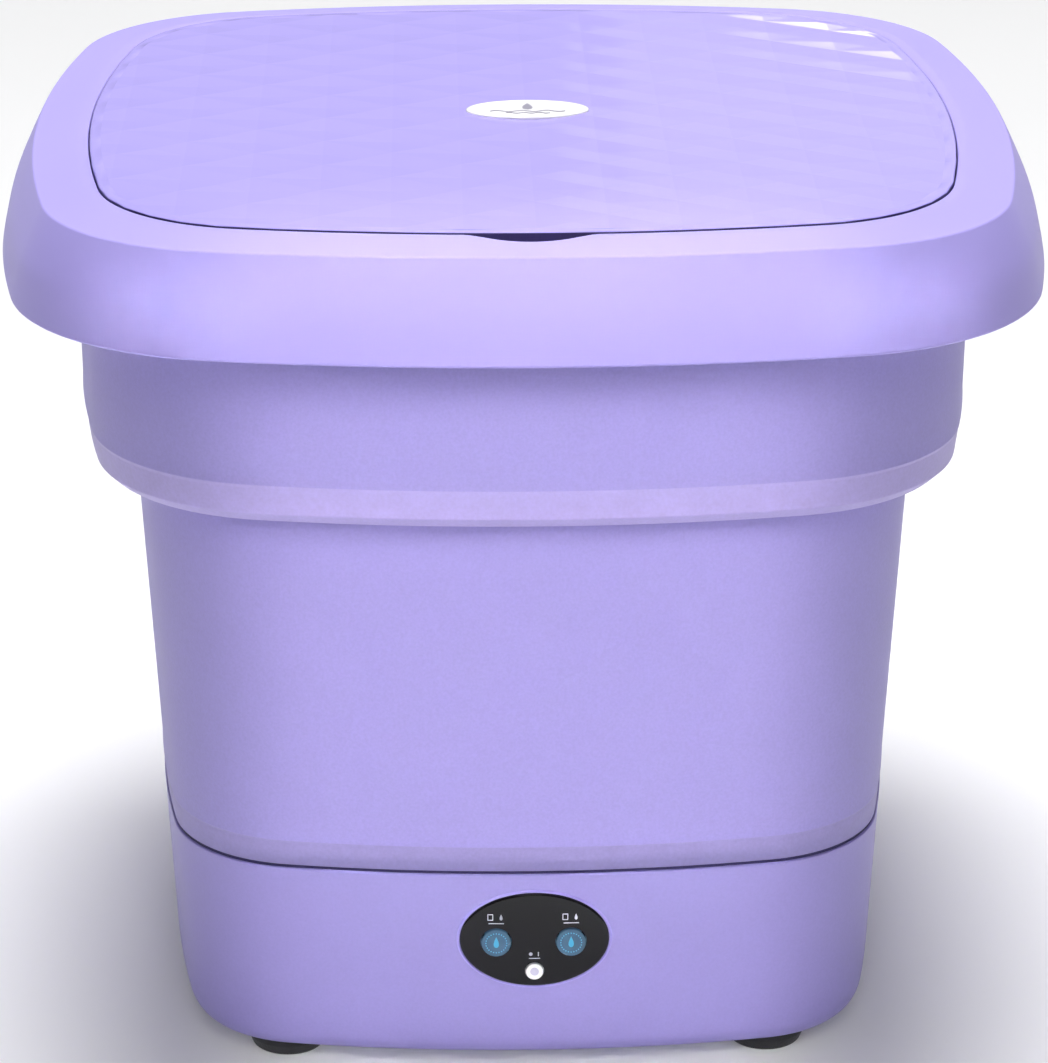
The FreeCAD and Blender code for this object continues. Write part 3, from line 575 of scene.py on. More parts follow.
def make_rim():
    outer = smooth(SKIRT, 6)
    edge = rounded([SKIRT[-1] + (0,), (259.9, 141.2, 56.2, 1.2), TOP_OUTER + (0,)],
                   closed=False, steps=6)
    top = straight(TOP_OUTER, TOP_INNER, 8)
    inside = [TOP_INNER + (0,), (RECESS_EDGE_Z, *RECESS, 0.5), (NOTCH_FLOOR_Z, *RECESS, 0),
              (NOTCH_FLOOR_Z - 0.15, RECESS[0] - 0.02, RECESS[1], 0),
              (SEAT_TOP_Z, RECESS[0] - 0.02, RECESS[1], 0.4),
              (SEAT_TOP_Z, *SEAT_HOLE, 0.8), (SEAT_Z, *SEAT_HOLE, 0.5), (SEAT_Z, *THROAT, 0.5),
              (SOFT_TOP_Z, *THROAT, 0.3), (SOFT_TOP_Z, *SOCKET, 0.3), (SEAT_Z, *SOCKET, 0.5),
              (SEAT_Z, *CAVITY, 0.5), (CAVITY_TOP_Z, *CAVITY, 0.8),
              (CAVITY_TOP_Z, 139.4, 55.0, 1.5)]
    inner_rows = rounded(inside, closed=False)
    back = smooth(SKIRT_INSIDE, 5)
    lip = rounded([SKIRT_INSIDE[-1] + (0,), (232.3, 148.7, 67.0, 0.8), (232.3, 150.9, 69.0, 1.1),
                   SKIRT[0] + (0,)], closed=False, steps=6)
    rows = lip[:-1] + outer + edge[1:-1] + top + inner_rows[1:] + back[:-1]
    return loft("rim_shell", rows, mats["rim"], shape=rim_shape)


rim = make_rim()
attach(rim, "rim")
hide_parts("rim_frame")


# ---- Soft wall ----

WALL_HALF = 108.85              # half width of the lower wall at the seam
WALL_SLOPE = 0.058
WALL_CORNER = 41.2
CORNER_SLOPE = 0.095
WALL_THICK = 1.6
WALL_STEP = 2.4                 # between rows, so that the wall folds evenly
WALL_FOOT_Z = 67.6
FOOT_BAND_Z = (74.6, 75.4)      # small step at the top of the foot band
WALL_START_Z = 80.0
WALL_TURN_Z = 172.0             # the wall starts to turn into the ledge
UPPER = [(194.0, 129.35, 57.0), (210.0, 129.6, 56.7), (226.0, 129.85, 56.4), (239.0, 130.1, 56.1)]
UPPER_INSIDE = [(200.0, 127.2, 54.6), (190.0, 126.9, 54.8), (186.0, 125.9, 54.8)]
FLANGE = (142.0, 62.0)
FLANGE_Z = 240.0


def wall(z, inset=0.0):
    rise = z - SEAM_Z
    return (z, WALL_HALF + WALL_SLOPE * rise - inset, WALL_CORNER + CORNER_SLOPE * rise - inset)


def wall_band(z, half):
    """Slot of a row: 1 for the band and the ledge's underside, whose paler colour is painted
    light, 2 for the foot band.
    """
    if half > 126.0 and 180.4 < z < 189.9 or half > 116.5 and 177.5 < z <= 180.4:
        return 1
    if z < 75.0 and half > 107.6:
        return 2
    return 0


def make_wall():
    foot = rounded([wall(WALL_FOOT_Z) + (0,), wall(FOOT_BAND_Z[0]) + (0.6,),
                    wall(FOOT_BAND_Z[1], -0.25) + (0.6,), wall(WALL_START_Z) + (0,)], closed=False)
    outer = [wall(WALL_FOOT_Z)] + foot[1:]
    outer += [wall(WALL_START_Z + step * WALL_STEP) for step in range(1, 39)]
    ledge = rounded([wall(WALL_TURN_Z) + (0,), wall(LEDGE_Z) + (2.2,), (LEDGE_Z, 125.0, 53.8, 1.4),
                     (181.6, 128.2, 56.2, 1.2), (189.4, 129.2, 57.1, 0.5),
                     (190.4, 129.5, 57.1, 0.5), UPPER[0] + (0,)], closed=False)
    upper = smooth(UPPER, 5)
    flange = rounded([UPPER[-1] + (0,), (FLANGE_Z, 130.1, 56.1, 0.6), (FLANGE_Z, *FLANGE, 0.4),
                      (SOFT_TOP_Z, *FLANGE, 0.4), (SOFT_TOP_Z, *THROAT, 0.4),
                      (FLANGE_Z, *THROAT, 0.6), (239.6, 127.9, 53.9, 0.8),
                      UPPER_INSIDE[0] + (0,)], closed=False)
    inner_top = smooth(UPPER_INSIDE, 3)
    inner_ledge = rounded([UPPER_INSIDE[-1] + (0,), (180.7, 124.0, 53.0, 1.6),
                           (180.5, 113.8, 50.3, 1.6), wall(WALL_TURN_Z, WALL_THICK) + (0,)],
                          closed=False)
    inner = [wall(WALL_TURN_Z - step * WALL_STEP, WALL_THICK) for step in range(1, 44)]
    inner.append(wall(WALL_FOOT_Z, WALL_THICK))
    rows = (outer[:-1] + ledge[1:] + upper[1:] + flange[1:] + inner_top[1:] + inner_ledge[1:]
            + inner)
    return loft("soft_wall", rows, [mats["wall"], mats["band"], mats["foot_band"]], band=wall_band)


soft = make_wall()
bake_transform(soft)
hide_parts("tub_lower_ring", "tub_mid_ring", "tub_upper_tier")

# a dark ring in the seam between base and soft wall stands in for the gap's shade: painted shadow
seam_shadow_rows = rounded([(66.0, 108.5, 40.3, 0.3), (67.9, 108.5, 40.6, 0.3),
                       (67.9, 107.2, 39.4, 0.2), (66.0, 107.2, 38.9, 0.2)])
seam_shadow_piece = loft("seam_gasket", seam_shadow_rows, mats["gap"])
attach(seam_shadow_piece, "base")


# ---- Base ----

HOUSING = [(7.5, 102.9, 33.4), (9.0, 104.3, 34.8), (12.0, 105.7, 36.1), (17.0, 106.5, 36.9)]
HOUSING_MIDDLE = (25.0, 106.95, 37.6)
HOUSING_TOP = (66.4, 109.27, 41.35)
FRONT_RISE = 50.0               # height over which the front face grows by FRONT_GROWTH
FRONT_GROWTH = (2.8, 4.5)
COVER_Z = 8.0
COVER = [(COVER_Z, 98.6, 30.0), (9.0, 100.6, 31.6), (10.4, 101.7, 32.4)]
COVER_CUT = (7, 11.5)           # heights that a cutter through the cover spans
FRONT_CUT = (-118, -100)
BACK_CUT = (95, 116)
DRAIN = (60, 34, 7.7)           # x, z and radius of the hole for the drain
INLET = (-60, 30, 6.1)
SCREW_HOLE = 1.75
FOOT_HOLE = 3.1
VENTS = 7
VENT_START = -30
VENT_PITCH = 10
VENT_Y = 30
VENT_RADIUS = 1.5
VENT_HALF = 12.5                # from the middle of a vent to the centre of its end
VENT_STEPS = 16


def housing_front(x, z):
    """Y of the housing's front face."""
    low_z, half, corner = HOUSING[-1]
    share = (z - low_z) / FRONT_RISE
    side, offset, _ = arcs(half + FRONT_GROWTH[0] * share, corner + FRONT_GROWTH[1] * share)
    return -(offset + math.sqrt(side ** 2 - x ** 2))


def screw_spots():
    spots = [(SIDE_BOSS, 0), (0, SIDE_BOSS), (-SIDE_BOSS, 0), (0, -SIDE_BOSS)]
    return spots + [(i * POST_X, j * POST_Y) for i in (-1, 1) for j in (-1, 1)]


def foot_spots():
    return [(i * FOOT_X, j * FOOT_Y) for j in (-1, 1) for i in (-1, 1)]


def make_housing():
    low = smooth(HOUSING + [HOUSING_MIDDLE], 5)
    side = straight(HOUSING_MIDDLE, HOUSING_TOP, 8)
    rest = rounded([(60.0, 108.9, 40.75, 0), (66.6, 109.28, 41.37, 0.5), (66.6, 107.0, 39.0, 0.4),
                    (17.0, 104.5, 34.5, 1.0), (13.0, 102.6, 33.5, 1.0), (13.0, 88.0, 20.0, 0.3),
                    (10.6, 88.0, 20.0, 0.3), (10.6, 102.2, 32.8, 0.3), (7.2, 101.9, 32.5, 0.4),
                    HOUSING[0] + (0,)], closed=False)
    obj = loft("base_shell", low + side[1:-2] + rest[1:-1], mats["base"])
    carve(obj, [prism("cut_panel", ellipse(PANEL_X, PANEL_Z, *PANEL), *FRONT_CUT, "Y"),
                prism("cut_drain", circle(*DRAIN), *BACK_CUT, "Y"),
                prism("cut_inlet", circle(*INLET), *BACK_CUT, "Y")])
    return obj


base = make_housing()
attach(base, "base")
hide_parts("base_housing")


def vent_loop(x, y):
    """A long hole with round ends."""
    loop = []
    for step in range(VENT_STEPS + 1):
        turn = math.pi * step / VENT_STEPS
        loop.append((x + VENT_RADIUS * math.cos(turn),
                     y + VENT_HALF + VENT_RADIUS * math.sin(turn)))
    return loop + [(2 * x - u, 2 * y - v) for u, v in loop]


def make_cover():
    rows = [Vector((COVER_Z, 97.9, 29.5))] + smooth(COVER, 4)
    obj = loft("base_cover", rows, mats["base"], closed=False, caps=True)
    loops = [circle(x, y, SCREW_HOLE, 20) for x, y in screw_spots()]
    loops += [circle(x, y, FOOT_HOLE, 24) for x, y in foot_spots()]
    loops += [vent_loop(VENT_START + VENT_PITCH * step, row * VENT_Y)
              for row in (-1, 1) for step in range(VENTS)]
    carve(obj, [prism("cut_cover", loop, *COVER_CUT) for loop in loops])
    return obj


cover = make_cover()
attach(cover, "base")
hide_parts("bottom_cover")

FEET = ("foot_front_left", "foot_front_right", "foot_rear_left", "foot_rear_right")
FOOT_PROFILE = [(0, 0.7), (6.0, 0.7, 0.3), (6.6, 0.0, 0.4), (10.4, 0.0, 1.6), (11.9, 3.6, 1.5),
                (12.0, 7.9, 0.3), (3.0, 7.95, 0.2), (3.0, 10.6, 0.1), (4.6, 10.7, 0.2),
                (2.4, 14.4, 0.5), (0, 14.6)]
for node, spot in zip(FEET, foot_spots()):
    foot = lathe(node.replace("foot", "pad"), turned(FOOT_PROFILE), mats["rubber"], (*spot, 0))
    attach(foot, "base")
    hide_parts(node)


# ---- Lid ----

FACET = (19.5, 12.7)            # width and depth of a facet's square
FACET_START = (1.5, 4.7)
FACET_COLUMNS = range(-8, 8)
FACET_ROWS = range(-12, 12)
FACET_RISE = 0.5
FACET_TOP = 262.35
LID_EDGE = 3.2                  # smooth margin round the facets
LID_REACH = 40                  # facets that start this far past the lid are left out
STRIP_TOP_Z = 261.7             # the painted shadow strip on the lid's side starts below this
LID_STEPS = [(0.35, 262.1), (LID_EDGE - 0.8, 262.15), (LID_EDGE - 0.35, 262.1),
             (LID_EDGE - 0.12, 261.98), (LID_EDGE - 0.03, 261.82), (LID_EDGE, 261.6),
             (LID_EDGE, LID_Z + 0.3), (LID_EDGE - 0.3, LID_Z), (-1.0, LID_Z)]
TINY_AREA = 1e-12
WELD_DIGITS = 2                 # corners that agree to this many digits of a millimetre are one


def facet_height(column, row):
    return FACET_TOP - (0 if (column + row) % 2 == 0 else FACET_RISE)


def facet_triangles():
    """Relief squares: every other one is split by a diagonal, the rest into four."""
    triangles = []
    for column in FACET_COLUMNS:
        for row in FACET_ROWS:
            x0, y0 = FACET_START[0] + FACET[0] * column, FACET_START[1] + FACET[1] * row
            loop = [Vector((x0 + i * FACET[0], y0 + j * FACET[1],
                            facet_height(column + i, row + j)))
                    for i, j in ((0, 0), (1, 0), (1, 1), (0, 1))]
            front_left, front_right, back_right, back_left = loop
            if (column + row) % 2:
                triangles.append((back_left, front_right, back_right))
                triangles.append((back_left, front_left, front_right))
            else:
                middle = Vector((x0 + FACET[0] / 2, y0 + FACET[1] / 2, FACET_TOP - FACET_RISE / 2))
                for one, two in zip(loop, loop[1:] + loop[:1]):
                    triangles.append((one, two, middle))
    return triangles


def clip(points, border):
    """Clips a polygon to a convex border seen from above, keeping heights on its slope."""
    for (ax, ay), (bx, by) in zip(border, border[1:] + border[:1]):
        if not points:
            return points
        kept = []
        sides = [(bx - ax) * (p.y - ay) - (by - ay) * (p.x - ax) for p in points]
        if min(sides) >= 0:
            continue
        for number, point in enumerate(points):
            after = (number + 1) % len(points)
            if sides[number] >= 0:
                kept.append(point)
            if (sides[number] >= 0) != (sides[after] >= 0):
                share = sides[number] / (sides[number] - sides[after])
                kept.append(point.lerp(points[after], share))
        points = kept
    return points


def add_facets(bm, border, reach):
    """Adds the relief inside the border and drops slivers."""
    known = {}

    def vert(point):
        key = (round(point.x, WELD_DIGITS), round(point.y, WELD_DIGITS))
        if key not in known:
            known[key] = bm.verts.new(point * MM)
        return known[key]

    for triangle in facet_triangles():
        if min(abs(p.x) for p in triangle) > reach or min(abs(p.y) for p in triangle) > reach:
            continue
        loop = []
        for point in clip(list(triangle), border):
            corner_vert = vert(point)
            if corner_vert not in loop:
                loop.append(corner_vert)
        if len(loop) >= 3:
            try:
                bm.faces.new(loop)
            except ValueError:
                pass
    bm.normal_update()
    for face in list(bm.faces):
        if face.calc_area() < TINY_AREA:
            bm.faces.remove(face)


def make_lid():
    bm = bmesh.new()
    half, corner = LID[0] - LID_EDGE, LID[1] - LID_EDGE
    add_facets(bm, outline(half, corner)[::4], half + LID_REACH)
    flat = set(bm.faces)
    rim_edges = [edge for edge in bm.edges if len(edge.link_faces) == 1]
    starts = {v: v.co.copy() for edge in rim_edges for v in edge.verts}
    made = {v: v for v in starts}
    normals = {v: outward(co.x / MM, co.y / MM, half, corner) for v, co in starts.items()}
    dark = []
    for shift, z in LID_STEPS:
        fresh = {}
        for v, co in starts.items():
            out = normals[v]
            fresh[v] = bm.verts.new(Vector((co.x + out.x * shift * MM, co.y + out.y * shift * MM,
                                            z * MM)))
        for edge in rim_edges:
            one, two = edge.verts
            face = bm.faces.new((made[one], made[two], fresh[two], fresh[one]))
            if z < STRIP_TOP_Z and shift > 0:
                dark.append(face)
        made = fresh
    loops = [edge for edge in bm.edges if len(edge.link_faces) == 1]
    bmesh.ops.holes_fill(bm, edges=loops, sides=0)
    for face in bm.faces:
        face.smooth = face not in flat and len(face.verts) == 4
    # these side faces get the painted shadow strip
    for face in dark:
        face.material_index = 1
    return new_piece("lid_cover", bm, [mats["lid"], mats["lid_gap"]], smooth_faces=False)


lid = make_lid()
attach(lid, "lid")
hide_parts("lid_panel")

TRAY_TOP_Z = 258.45
TRAY_Z = 256.0
RIB_Z = 253.6
TRAY = (118.0, 43.0)
RIB = (113.8, 38.8)
RIB_INSIDE = (111.8, 36.8)
tray_rows = rounded([(TRAY_TOP_Z, *TRAY, 0.3), (TRAY_Z, *TRAY, 0.6), (TRAY_Z, *RIB, 0.3),
                     (RIB_Z, *RIB, 0.5), (RIB_Z, *RIB_INSIDE, 0.5), (TRAY_Z, *RIB_INSIDE, 0.6),
                     (TRAY_Z, 106.0, 32.0, 0)], closed=False)
tray = loft("lid_liner", [Vector((TRAY_TOP_Z, 116.0, 41.0))] + tray_rows, mats["lid"],
            closed=False, caps=True)
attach(tray, "lid")
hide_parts("lid_tray")

seal_rows = rounded([(255.9, 118.0, 43.0, 0.5), (255.9, 114.0, 39.0, 0.4),
                     (254.6, 114.0, 39.0, 0.5), (254.2, 115.2, 40.2, 0.5),
                     (252.9, 114.4, 39.4, 0.6), (252.8, 117.6, 42.6, 0.8),
                     (254.2, 118.0, 43.0, 0.8)])
seal = loft("lid_gasket", seal_rows, mats["seal"])
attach(seal, "lid")
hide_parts("lid_seal")

OVAL_STEPS = 96
BADGE_Z = TOP_Z + 0.12
MARK_Z = TOP_Z + 0.68
MARK_HALF_THICK = 0.08
BADGE_PROFILE = [(1.0, -0.9), (1.0, 0.25), (0.995, 0.42), (0.98, 0.55), (0.955, 0.6), (0.93, 0.58),
                 (0.915, 0.5), (0.90, 0.47), (0.7, 0.5), (0.4, 0.54), (0, 0.56)]
DROP_SWELL = (0.62, 1.3)        # width of a droplet by its length, and how late it swells
DROP_STEPS = 28
WAVE_STEPS = 40


def stretched(name, profile, mat, place, width, depth):
    """Elliptic lathe: profile of (share of the half axes, height)."""
    x, y, z = place
    bm = bmesh.new()
    last = None
    for share, height in profile:
        if share == 0:
            tip, = add_ring(bm, [(x, y, z + height)])
            for step in range(OVAL_STEPS):
                bm.faces.new((last[step], last[(step + 1) % OVAL_STEPS], tip))
            continue
        loop = ellipse(x, y, width * share, depth * share, OVAL_STEPS)
        ring = add_ring(bm, [(u, v, z + height) for u, v in loop])
        if last:
            ring_faces(bm, last, ring)
        else:
            bm.faces.new(ring)
        last = ring
    return new_piece(name, bm, mat)


badge = stretched("badge_oval", BADGE_PROFILE, mats["white"], (BADGE_X, 0, BADGE_Z), *BADGE)
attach(badge, "lid")
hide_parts("lid_badge")


def flat_shape(name, loops, place, thick, mat):
    """Thin raised shapes: each loop of (u, v) points goes through place(u, v, lift)."""
    bm = bmesh.new()
    for loop in loops:
        low = add_ring(bm, [place(u, v, -thick) for u, v in loop])
        high = add_ring(bm, [place(u, v, thick) for u, v in loop])
        ring_faces(bm, low, high)
        bm.faces.new(high)
        bm.faces.new(list(reversed(low)))
    return new_piece(name, bm, mat, smooth_faces=False)


def droplet(x, y, size, steps=DROP_STEPS):
    """A water drop: round below, a point above."""
    width, lateness = DROP_SWELL
    loop = []
    for turn in turns(steps):
        wide = math.sin(turn) * math.sin(turn / 2) ** lateness
        loop.append((x + size * width * wide, y + size * math.cos(turn)))
    return loop


def wave(x, y, length, height, width):
    """A band of three waves."""
    upper, lower = [], []
    for step in range(WAVE_STEPS + 1):
        u = x + length * (step / WAVE_STEPS - 0.5)
        v = y + height * math.sin(6 * math.pi * step / WAVE_STEPS)
        upper.append((u, v + width / 2))
        lower.append((u, v - width / 2))
    return lower + upper[::-1]


badge_shapes = [droplet(BADGE_X, 2.4, 3.4), wave(BADGE_X, -2.8, 22.0, 0.7, 0.7),
                wave(BADGE_X, -4.9, 13.0, 0.5, 0.6)]
mark = flat_shape("badge_mark", badge_shapes, lambda u, v, lift: (u, v, MARK_Z + lift),
                  MARK_HALF_THICK, mats["mark"])
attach(mark, "lid")


# ---- Control panel ----

BUTTONS = {"button_wash": (-9.5, 45.2, 4.25), "button_rinse": (12.0, 45.2, 4.25),
           "button_power": (1.5, 35.75, 2.5)}
BODY_OF = {"button_wash": "wash_button", "button_rinse": "rinse_button",
           "button_power": "power_button"}
LENS_EDGE = [(0.985, PANEL_THICK - PANEL_PROUD), (1.0, PANEL_THICK - PANEL_PROUD), (1.0, -0.15),
             (0.995, -0.5), (0.98, -0.78), (0.955, -PANEL_PROUD)]
LENS_RINGS = 9
LENS_CUT = (-115, -100)
BEZEL = [(0.1, 0.9), (0.1, -0.25), (0.3, -0.5), (0.6, -0.5), (0.85, -0.2), (1.0, 0.3), (1.0, 0.9)]
KEY_FACE = 1.5                  # how far a key stands out of the housing's front
KEY_DISH = 0.2
KEY_FLANGE = (-2.6, -3.4)       # front and back of the flange behind the lens
KEY_FLANGE_WIDTH = 1.0
KEY_STEM = (1.2, -4.3)
KEY_MARK = 0.07                 # half thickness of the marks on the keys
DOT_RING = (24, 3.0, 0.17)      # number, ring radius, dot radius
DOT_STEPS = 10
DOT_LIFT = 0.05
DOT_MARK = 0.09
POWER_DOT = (1.25, 32)          # radius and steps
SIGN_MARK = 0.05


def panel_ring(bm, width, height, lift):
    """A ring on an oval that follows the housing's front face."""
    loop = ellipse(PANEL_X, PANEL_Z, width, height, OVAL_STEPS)
    return add_ring(bm, [(u, housing_front(u, v) + lift, v) for u, v in loop])


def make_fascia():
    bm = bmesh.new()
    shares = LENS_EDGE + [(0.9 - 0.1 * step, -PANEL_PROUD) for step in range(LENS_RINGS)]
    rings = [panel_ring(bm, PANEL[0] * share, PANEL[1] * share, lift) for share, lift in shares]
    join_rings(bm, rings)
    bm.faces.new(rings[-1])
    bm.faces.new(list(reversed(rings[0])))
    obj = new_piece("panel_lens", bm, mats["black"])
    carve(obj, [prism("cut_" + name, circle(x, z, radius + BODY_GAP), *LENS_CUT, "Y")
                for name, (x, z, radius) in BUTTONS.items()])
    return obj


fascia = make_fascia()
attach(fascia, "base")
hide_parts("panel_fascia")


def make_bezel():
    bm = bmesh.new()
    join_rings(bm, [panel_ring(bm, PANEL[0] + 2 * grow, PANEL[1] + 2 * grow, lift)
                    for grow, lift in BEZEL], closed=True)
    return new_piece("panel_bezel", bm, mats["rim"])


bezel = make_bezel()
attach(bezel, "base")


def key_profile(radius):
    front, back = KEY_FLANGE
    stem, stem_end = KEY_STEM
    return turned([(0, KEY_FACE - 0.22), (0.55 * radius, KEY_FACE - 0.2, 0.4),
                   (0.86 * radius, KEY_FACE, 0.25), (radius, KEY_FACE - 0.05, 0.35),
                   (radius, front, 0.1), (radius + KEY_FLANGE_WIDTH, front, 0.2),
                   (radius + KEY_FLANGE_WIDTH, back, 0.2), (stem, back, 0.1),
                   (stem, stem_end, 0.1), (0, stem_end)])


def on_level(level):
    """Puts marks on an upright face at this Y."""
    return lambda u, v, lift: (u, level - lift, v)


def dot_ring(x, z):
    count, ring, dot = DOT_RING
    return [circle(x + ring * math.cos(turn), z + ring * math.sin(turn), dot, DOT_STEPS)
            for turn in turns(count)]


for node, (x, z, radius) in BUTTONS.items():
    y = housing_front(0, z)
    blue = node != "button_power"
    cap = lathe(node.replace("button", "key"), key_profile(radius),
                mats["blue" if blue else "white"], (x, y, z), "Y")
    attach(cap, BODY_OF[node])
    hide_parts(node)

    dish = on_level(y - KEY_FACE + KEY_DISH)
    if blue:
        pieces = [flat_shape(node.replace("button", "drop"), [droplet(x, z + 0.2, 1.7)], dish,
                             KEY_MARK, mats["drop"]),
                  flat_shape(node.replace("button", "dots"), dot_ring(x, z),
                             on_level(y - KEY_FACE + DOT_LIFT), DOT_MARK, mats["drop"])]
    else:
        pieces = [flat_shape("power_dot", [circle(x, z, *POWER_DOT)], dish, KEY_MARK,
                             mats["lilac_grey"])]
    for piece in pieces:
        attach(piece, BODY_OF[node])


def on_panel(u, v, lift):
    return (u, housing_front(u, v) - PANEL_PROUD - lift, v)


def bar(x, z, width, height):
    return [(x - width / 2, z - height / 2), (x + width / 2, z - height / 2),
            (x + width / 2, z + height / 2), (x - width / 2, z + height / 2)]


signs = []
for x in (-9.5, 12.0):
    signs += [bar(x - 1.7, 54.2, 1.6, 0.25), bar(x - 1.7, 52.4, 1.6, 0.25),
              bar(x - 2.4, 53.3, 0.25, 1.6), bar(x - 1.0, 53.3, 0.25, 1.6),
              droplet(x + 1.4, 53.3, 0.95, 14), bar(x, 51.3, 4.4, 0.28)]
signs += [circle(0.4, 41.3, 0.55, 12), bar(2.6, 41.3, 0.3, 1.3), bar(1.5, 39.9, 3.2, 0.24)]
signs_piece = flat_shape("panel_signs", signs, on_panel, SIGN_MARK, mats["print"])
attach(signs_piece, "base")


# ---- Inside the tub ----

PLATE_STEPS = 144
PLATE_ROWS = 34
PLATE_HUB = 13.0
PLATE_EDGE = 61.6
PLATE_TOP_Z = 78.0
PLATE_LOW_Z = 70.4
VANE_HEIGHT = 5.4
PLATE_UNDER = ((62.0, 69.9), (62.0, 68.9), (61.5, 68.5), (4.2, 68.5), (4.2, 77.6), (12.0, 78.2))
PLATE_SHARP_ANGLE = 50


def plate_height(share, turn):
    """Height of the wash plate, a dish with four curved vanes; share is 1 at the edge."""
    dish = PLATE_TOP_Z - 2.4 * min(1, share * 2.2) - 4.6 * share ** 2
    if share >= 0.97:
        return PLATE_LOW_Z + (dish - PLATE_LOW_Z) * (1 - share) / 0.03
    swell = math.cos(2 * (turn - 0.5 * share)) ** 2
    vane = VANE_HEIGHT * max(0.0, swell - 0.35) ** 1.5
    vane *= math.sin(math.pi * min(1, 0.15 + 0.9 * share)) ** 0.7
    return max(PLATE_LOW_Z, dish + vane)


def make_pulsator():
    bm = bmesh.new()
    rings = []
    for row in range(PLATE_ROWS + 1):
        share = row / PLATE_ROWS
        radius = PLATE_HUB + (PLATE_EDGE - PLATE_HUB) * share
        spots = [(radius * math.cos(turn), radius * math.sin(turn), plate_height(share, turn))
                 for turn in turns(PLATE_STEPS)]
        rings.append(add_ring(bm, spots))
    rings += [circle_ring(bm, radius, z, PLATE_STEPS) for radius, z in PLATE_UNDER]
    join_rings(bm, rings, closed=True)
    obj = new_piece("wash_plate", bm, mats["white"])
    obj.data.set_sharp_from_angle(angle=math.radians(PLATE_SHARP_ANGLE))
    return obj


plate = make_pulsator()
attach(plate, "agitator")
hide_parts("pulsator")

cap_inside = turned([(5.6, 78.2, 0.2), (5.6, 81.4, 0.2), (4.6, 82.0, 0.3), (0, 82.0)])
cap_outside = turned([(5.7, 78.15), (11.0, 78.15, 0.3), (11.0, 81.6, 1.2), (8.4, 85.2, 3.0),
                      (4.6, 87.4, 3.0), (0, 87.9)])
hub = lathe("wash_cap", cap_inside[::-1] + cap_outside, mats["white"], (0, 0, 0))
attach(hub, "agitator")
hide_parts("pulsator_cap")


# ---- CAD nodes that keep their shape ----

KEPT = {
    "inner": ["tub_floor", "rim_clamp_ring"],
    "steel": ["cover_screws", "board_screws", "bracket_screws", "motor_screws", "rim_screws",
              "lid_screws", "pulsator_screw", "pulsator_shaft", "bearing_lower", "bearing_upper",
              "bearing_spacer", "shaft_circlip", "motor_shaft", "motor_bracket", "motor_can",
              "drain_grate", "dc_inlet_pin"],
    "iron": ["motor_magnets", "motor_armature"],
    "black_plastic": ["dc_inlet", "dc_inlet_nut", "motor_end_cap", "tact_switches",
                      "driven_pulley", "motor_pulley"],
    "white": ["drain_elbow"],
    "rubber": ["shaft_seal"],
    "belt": ["drive_belt"],
    "board": ["control_board"],
    "lamp": ["indicator_leds"],
    "wire": ["power_leads", "motor_leads"],
}
for key, names in KEPT.items():
    for node in names:
        obj = frame["nodes"][node]
        for target in [obj] + list(obj.children_recursive):
            for slot in target.material_slots:
                slot.material = mats[key]


# ---- Floor, light, camera ----

# Lengths from here on are in metres.
FLOOR_RADIUS = 20.0
FLOOR_STEPS = 96
FLOOR_GLOW = (0.9, 3.4, 0.09, 0.72)     # 0.09 up to 0.9 m from the middle, 0.72 from 3.4 m
FLOOR_GLOW_COLOR = (1, 1, 0.98, 1)
WORLD = {"Color": (0.94, 0.95, 1.0, 1), "Strength": 0.165}
PANEL_RISES = (23, 30, 37, 44)          # elevations of the front beams, in degrees
PANEL_AIM = (0, -0.12, 0.13)
PANEL_DISTANCE = 1.55
SKIRT_AIM = (0.096, -0.15, 0.247)       # mirrored for the other side
SKIRT_DISTANCE = 1.2
SKIRT_RISE = 10
SIDE_X = 0.95
GLINT_TILT = -11.5
LOOK_BACK = Vector((-0.0216, -0.9362, 0.3507)).normalized()
LOOK_AT = Vector((0, 0, 0.1299))
CAMERA_DISTANCE = 1.3082

floor_mat = surface("floor_paint", (0.90, 0.90, 0.905, 1), 0.8, 0.01, 3, 60, 0.03, 0.0004,
                    specular=0.2)
nodes, links, shader, _ = tone_parts(floor_mat)
set_inputs(shader, {"Emission Color": FLOOR_GLOW_COLOR})
place = add_node(nodes, "TexCoord")
reach = add_node(nodes, "VectorMath", operation="LENGTH")
links.new(place.outputs["Object"], reach.inputs[0])
glow = add_node(nodes, "MapRange", zip(("From Min", "From Max", "To Min", "To Max"), FLOOR_GLOW))
links.new(reach.outputs["Value"], glow.inputs["Value"])
links.new(glow.outputs["Result"], shader.inputs["Emission Strength"])
bm = bmesh.new()
bmesh.ops.create_circle(bm, cap_ends=True, segments=FLOOR_STEPS, radius=FLOOR_RADIUS)
floor = new_piece("floor", bm, floor_mat, smooth_faces=False)

scene = bpy.context.scene
world = bpy.data.worlds.new("studio")
scene.world = world
world.use_nodes = True
set_inputs(world.node_tree.nodes["Background"], WORLD)


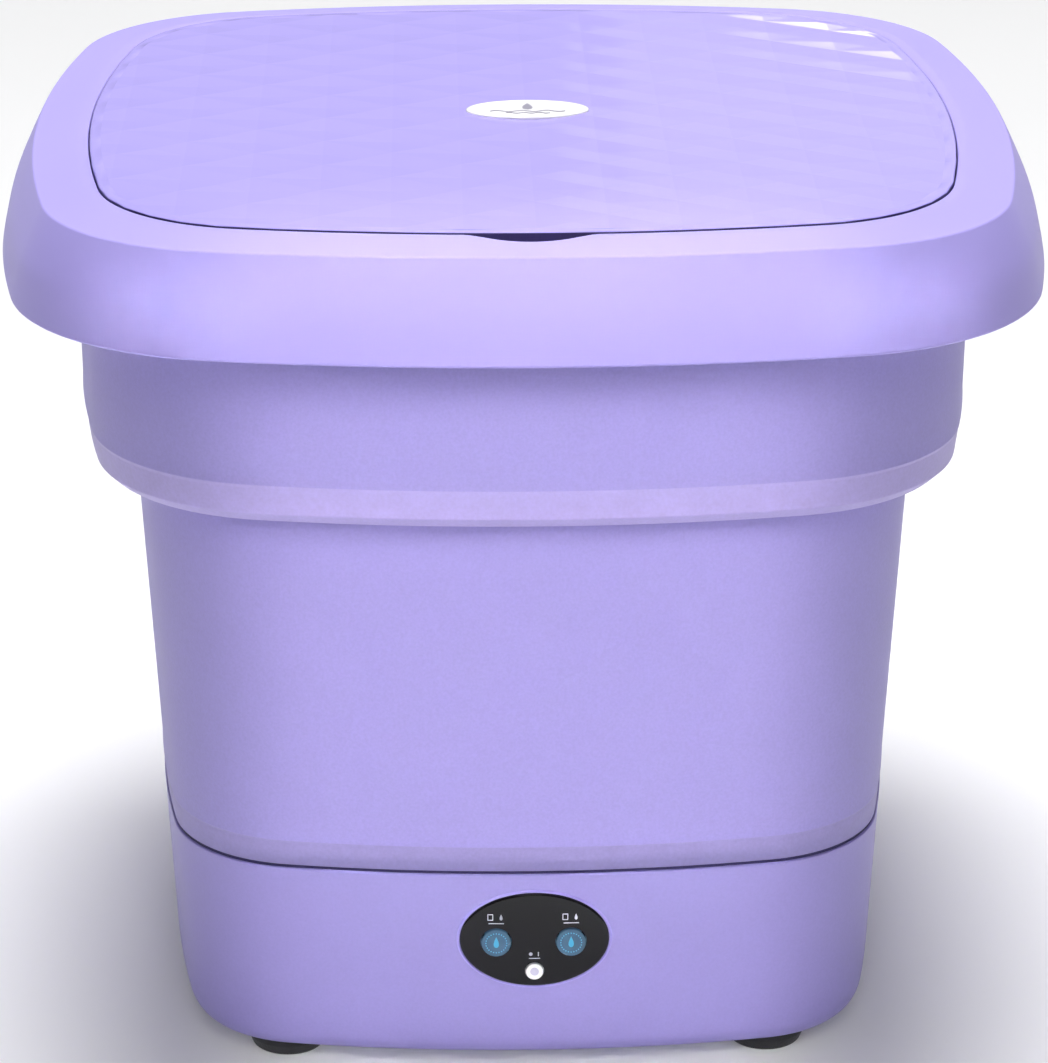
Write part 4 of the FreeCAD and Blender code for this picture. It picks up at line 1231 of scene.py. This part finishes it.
def area_light(name, place, aim, size, power, spread=180, glossy=True, diffuse=True):
    data = bpy.data.lights.new(name, "AREA")
    data.shape = "RECTANGLE"
    data.size, data.size_y = size
    data.energy = power
    data.spread = math.radians(spread)
    lamp = bpy.data.objects.new(name, data)
    lamp.location = place
    lamp.rotation_euler = (Vector(aim) - Vector(place)).to_track_quat("-Z", "Y").to_euler()
    lamp.visible_camera = False
    lamp.visible_glossy = glossy
    lamp.visible_diffuse = diffuse
    scene.collection.objects.link(lamp)
    return lamp


def front_place(aim, distance, rise):
    """A place in front of the aim, at an elevation in degrees."""
    turn = math.radians(rise)
    return (aim[0], aim[1] - distance * math.cos(turn), aim[2] + distance * math.sin(turn))


area_light("key", (0, -1.5, 1.35), (0, 0, 0.14), (0.5, 0.5), 4)
for rise in PANEL_RISES:
    area_light("front_panel", front_place(PANEL_AIM, PANEL_DISTANCE, rise), PANEL_AIM,
               (0.160, 0.23), 0.0226, spread=2.4, glossy=False)
for side in (-1, 1):
    skirt_aim = (side * SKIRT_AIM[0], SKIRT_AIM[1], SKIRT_AIM[2])
    area_light("skirt_panel", front_place(skirt_aim, SKIRT_DISTANCE, SKIRT_RISE), skirt_aim,
               (0.046, 0.012), 0.0021, spread=1.8, glossy=False)
area_light("overhead", (0, 0.1, 1.8), (0, 0, 0.2), (0.9, 0.9), 8.5, spread=80, glossy=False)
area_light("floor_wash", (0, 1.25, 1.6), (0, 1.25, 0), (2.4, 1.2), 4.6, spread=45)
for side in (-1, 1):
    area_light("floor_side", (side * SIDE_X, 0.1, 1.6), (side * SIDE_X, 0.1, 0), (0.7, 1.6), 1.3,
               spread=45)
glint = area_light("facet_glint", (0.2475, 1.5, 0.4655), (0.2475, 0, 0.4655), (0.125, 0.05), 0.06,
                   diffuse=False)
glint.rotation_euler.rotate_axis("Z", math.radians(GLINT_TILT))
area_light("lid_card", (0.38, 1.5, 0.74), (0.38, 0, 0.74), (0.6, 0.55), 0.28, diffuse=False)

camera_data = bpy.data.cameras.new("camera")
camera_data.sensor_width = 36.0
camera_data.lens = 145.8
camera_data.shift_x, camera_data.shift_y = 0.0032, 0.0012
camera_data.clip_start = 0.05
camera = bpy.data.objects.new("camera", camera_data)
camera.location = LOOK_BACK * CAMERA_DISTANCE + LOOK_AT
camera.rotation_euler = (-LOOK_BACK).to_track_quat("-Z", "Y").to_euler()
scene.collection.objects.link(camera)
scene.camera = camera
scene.view_settings.view_transform = "Standard"
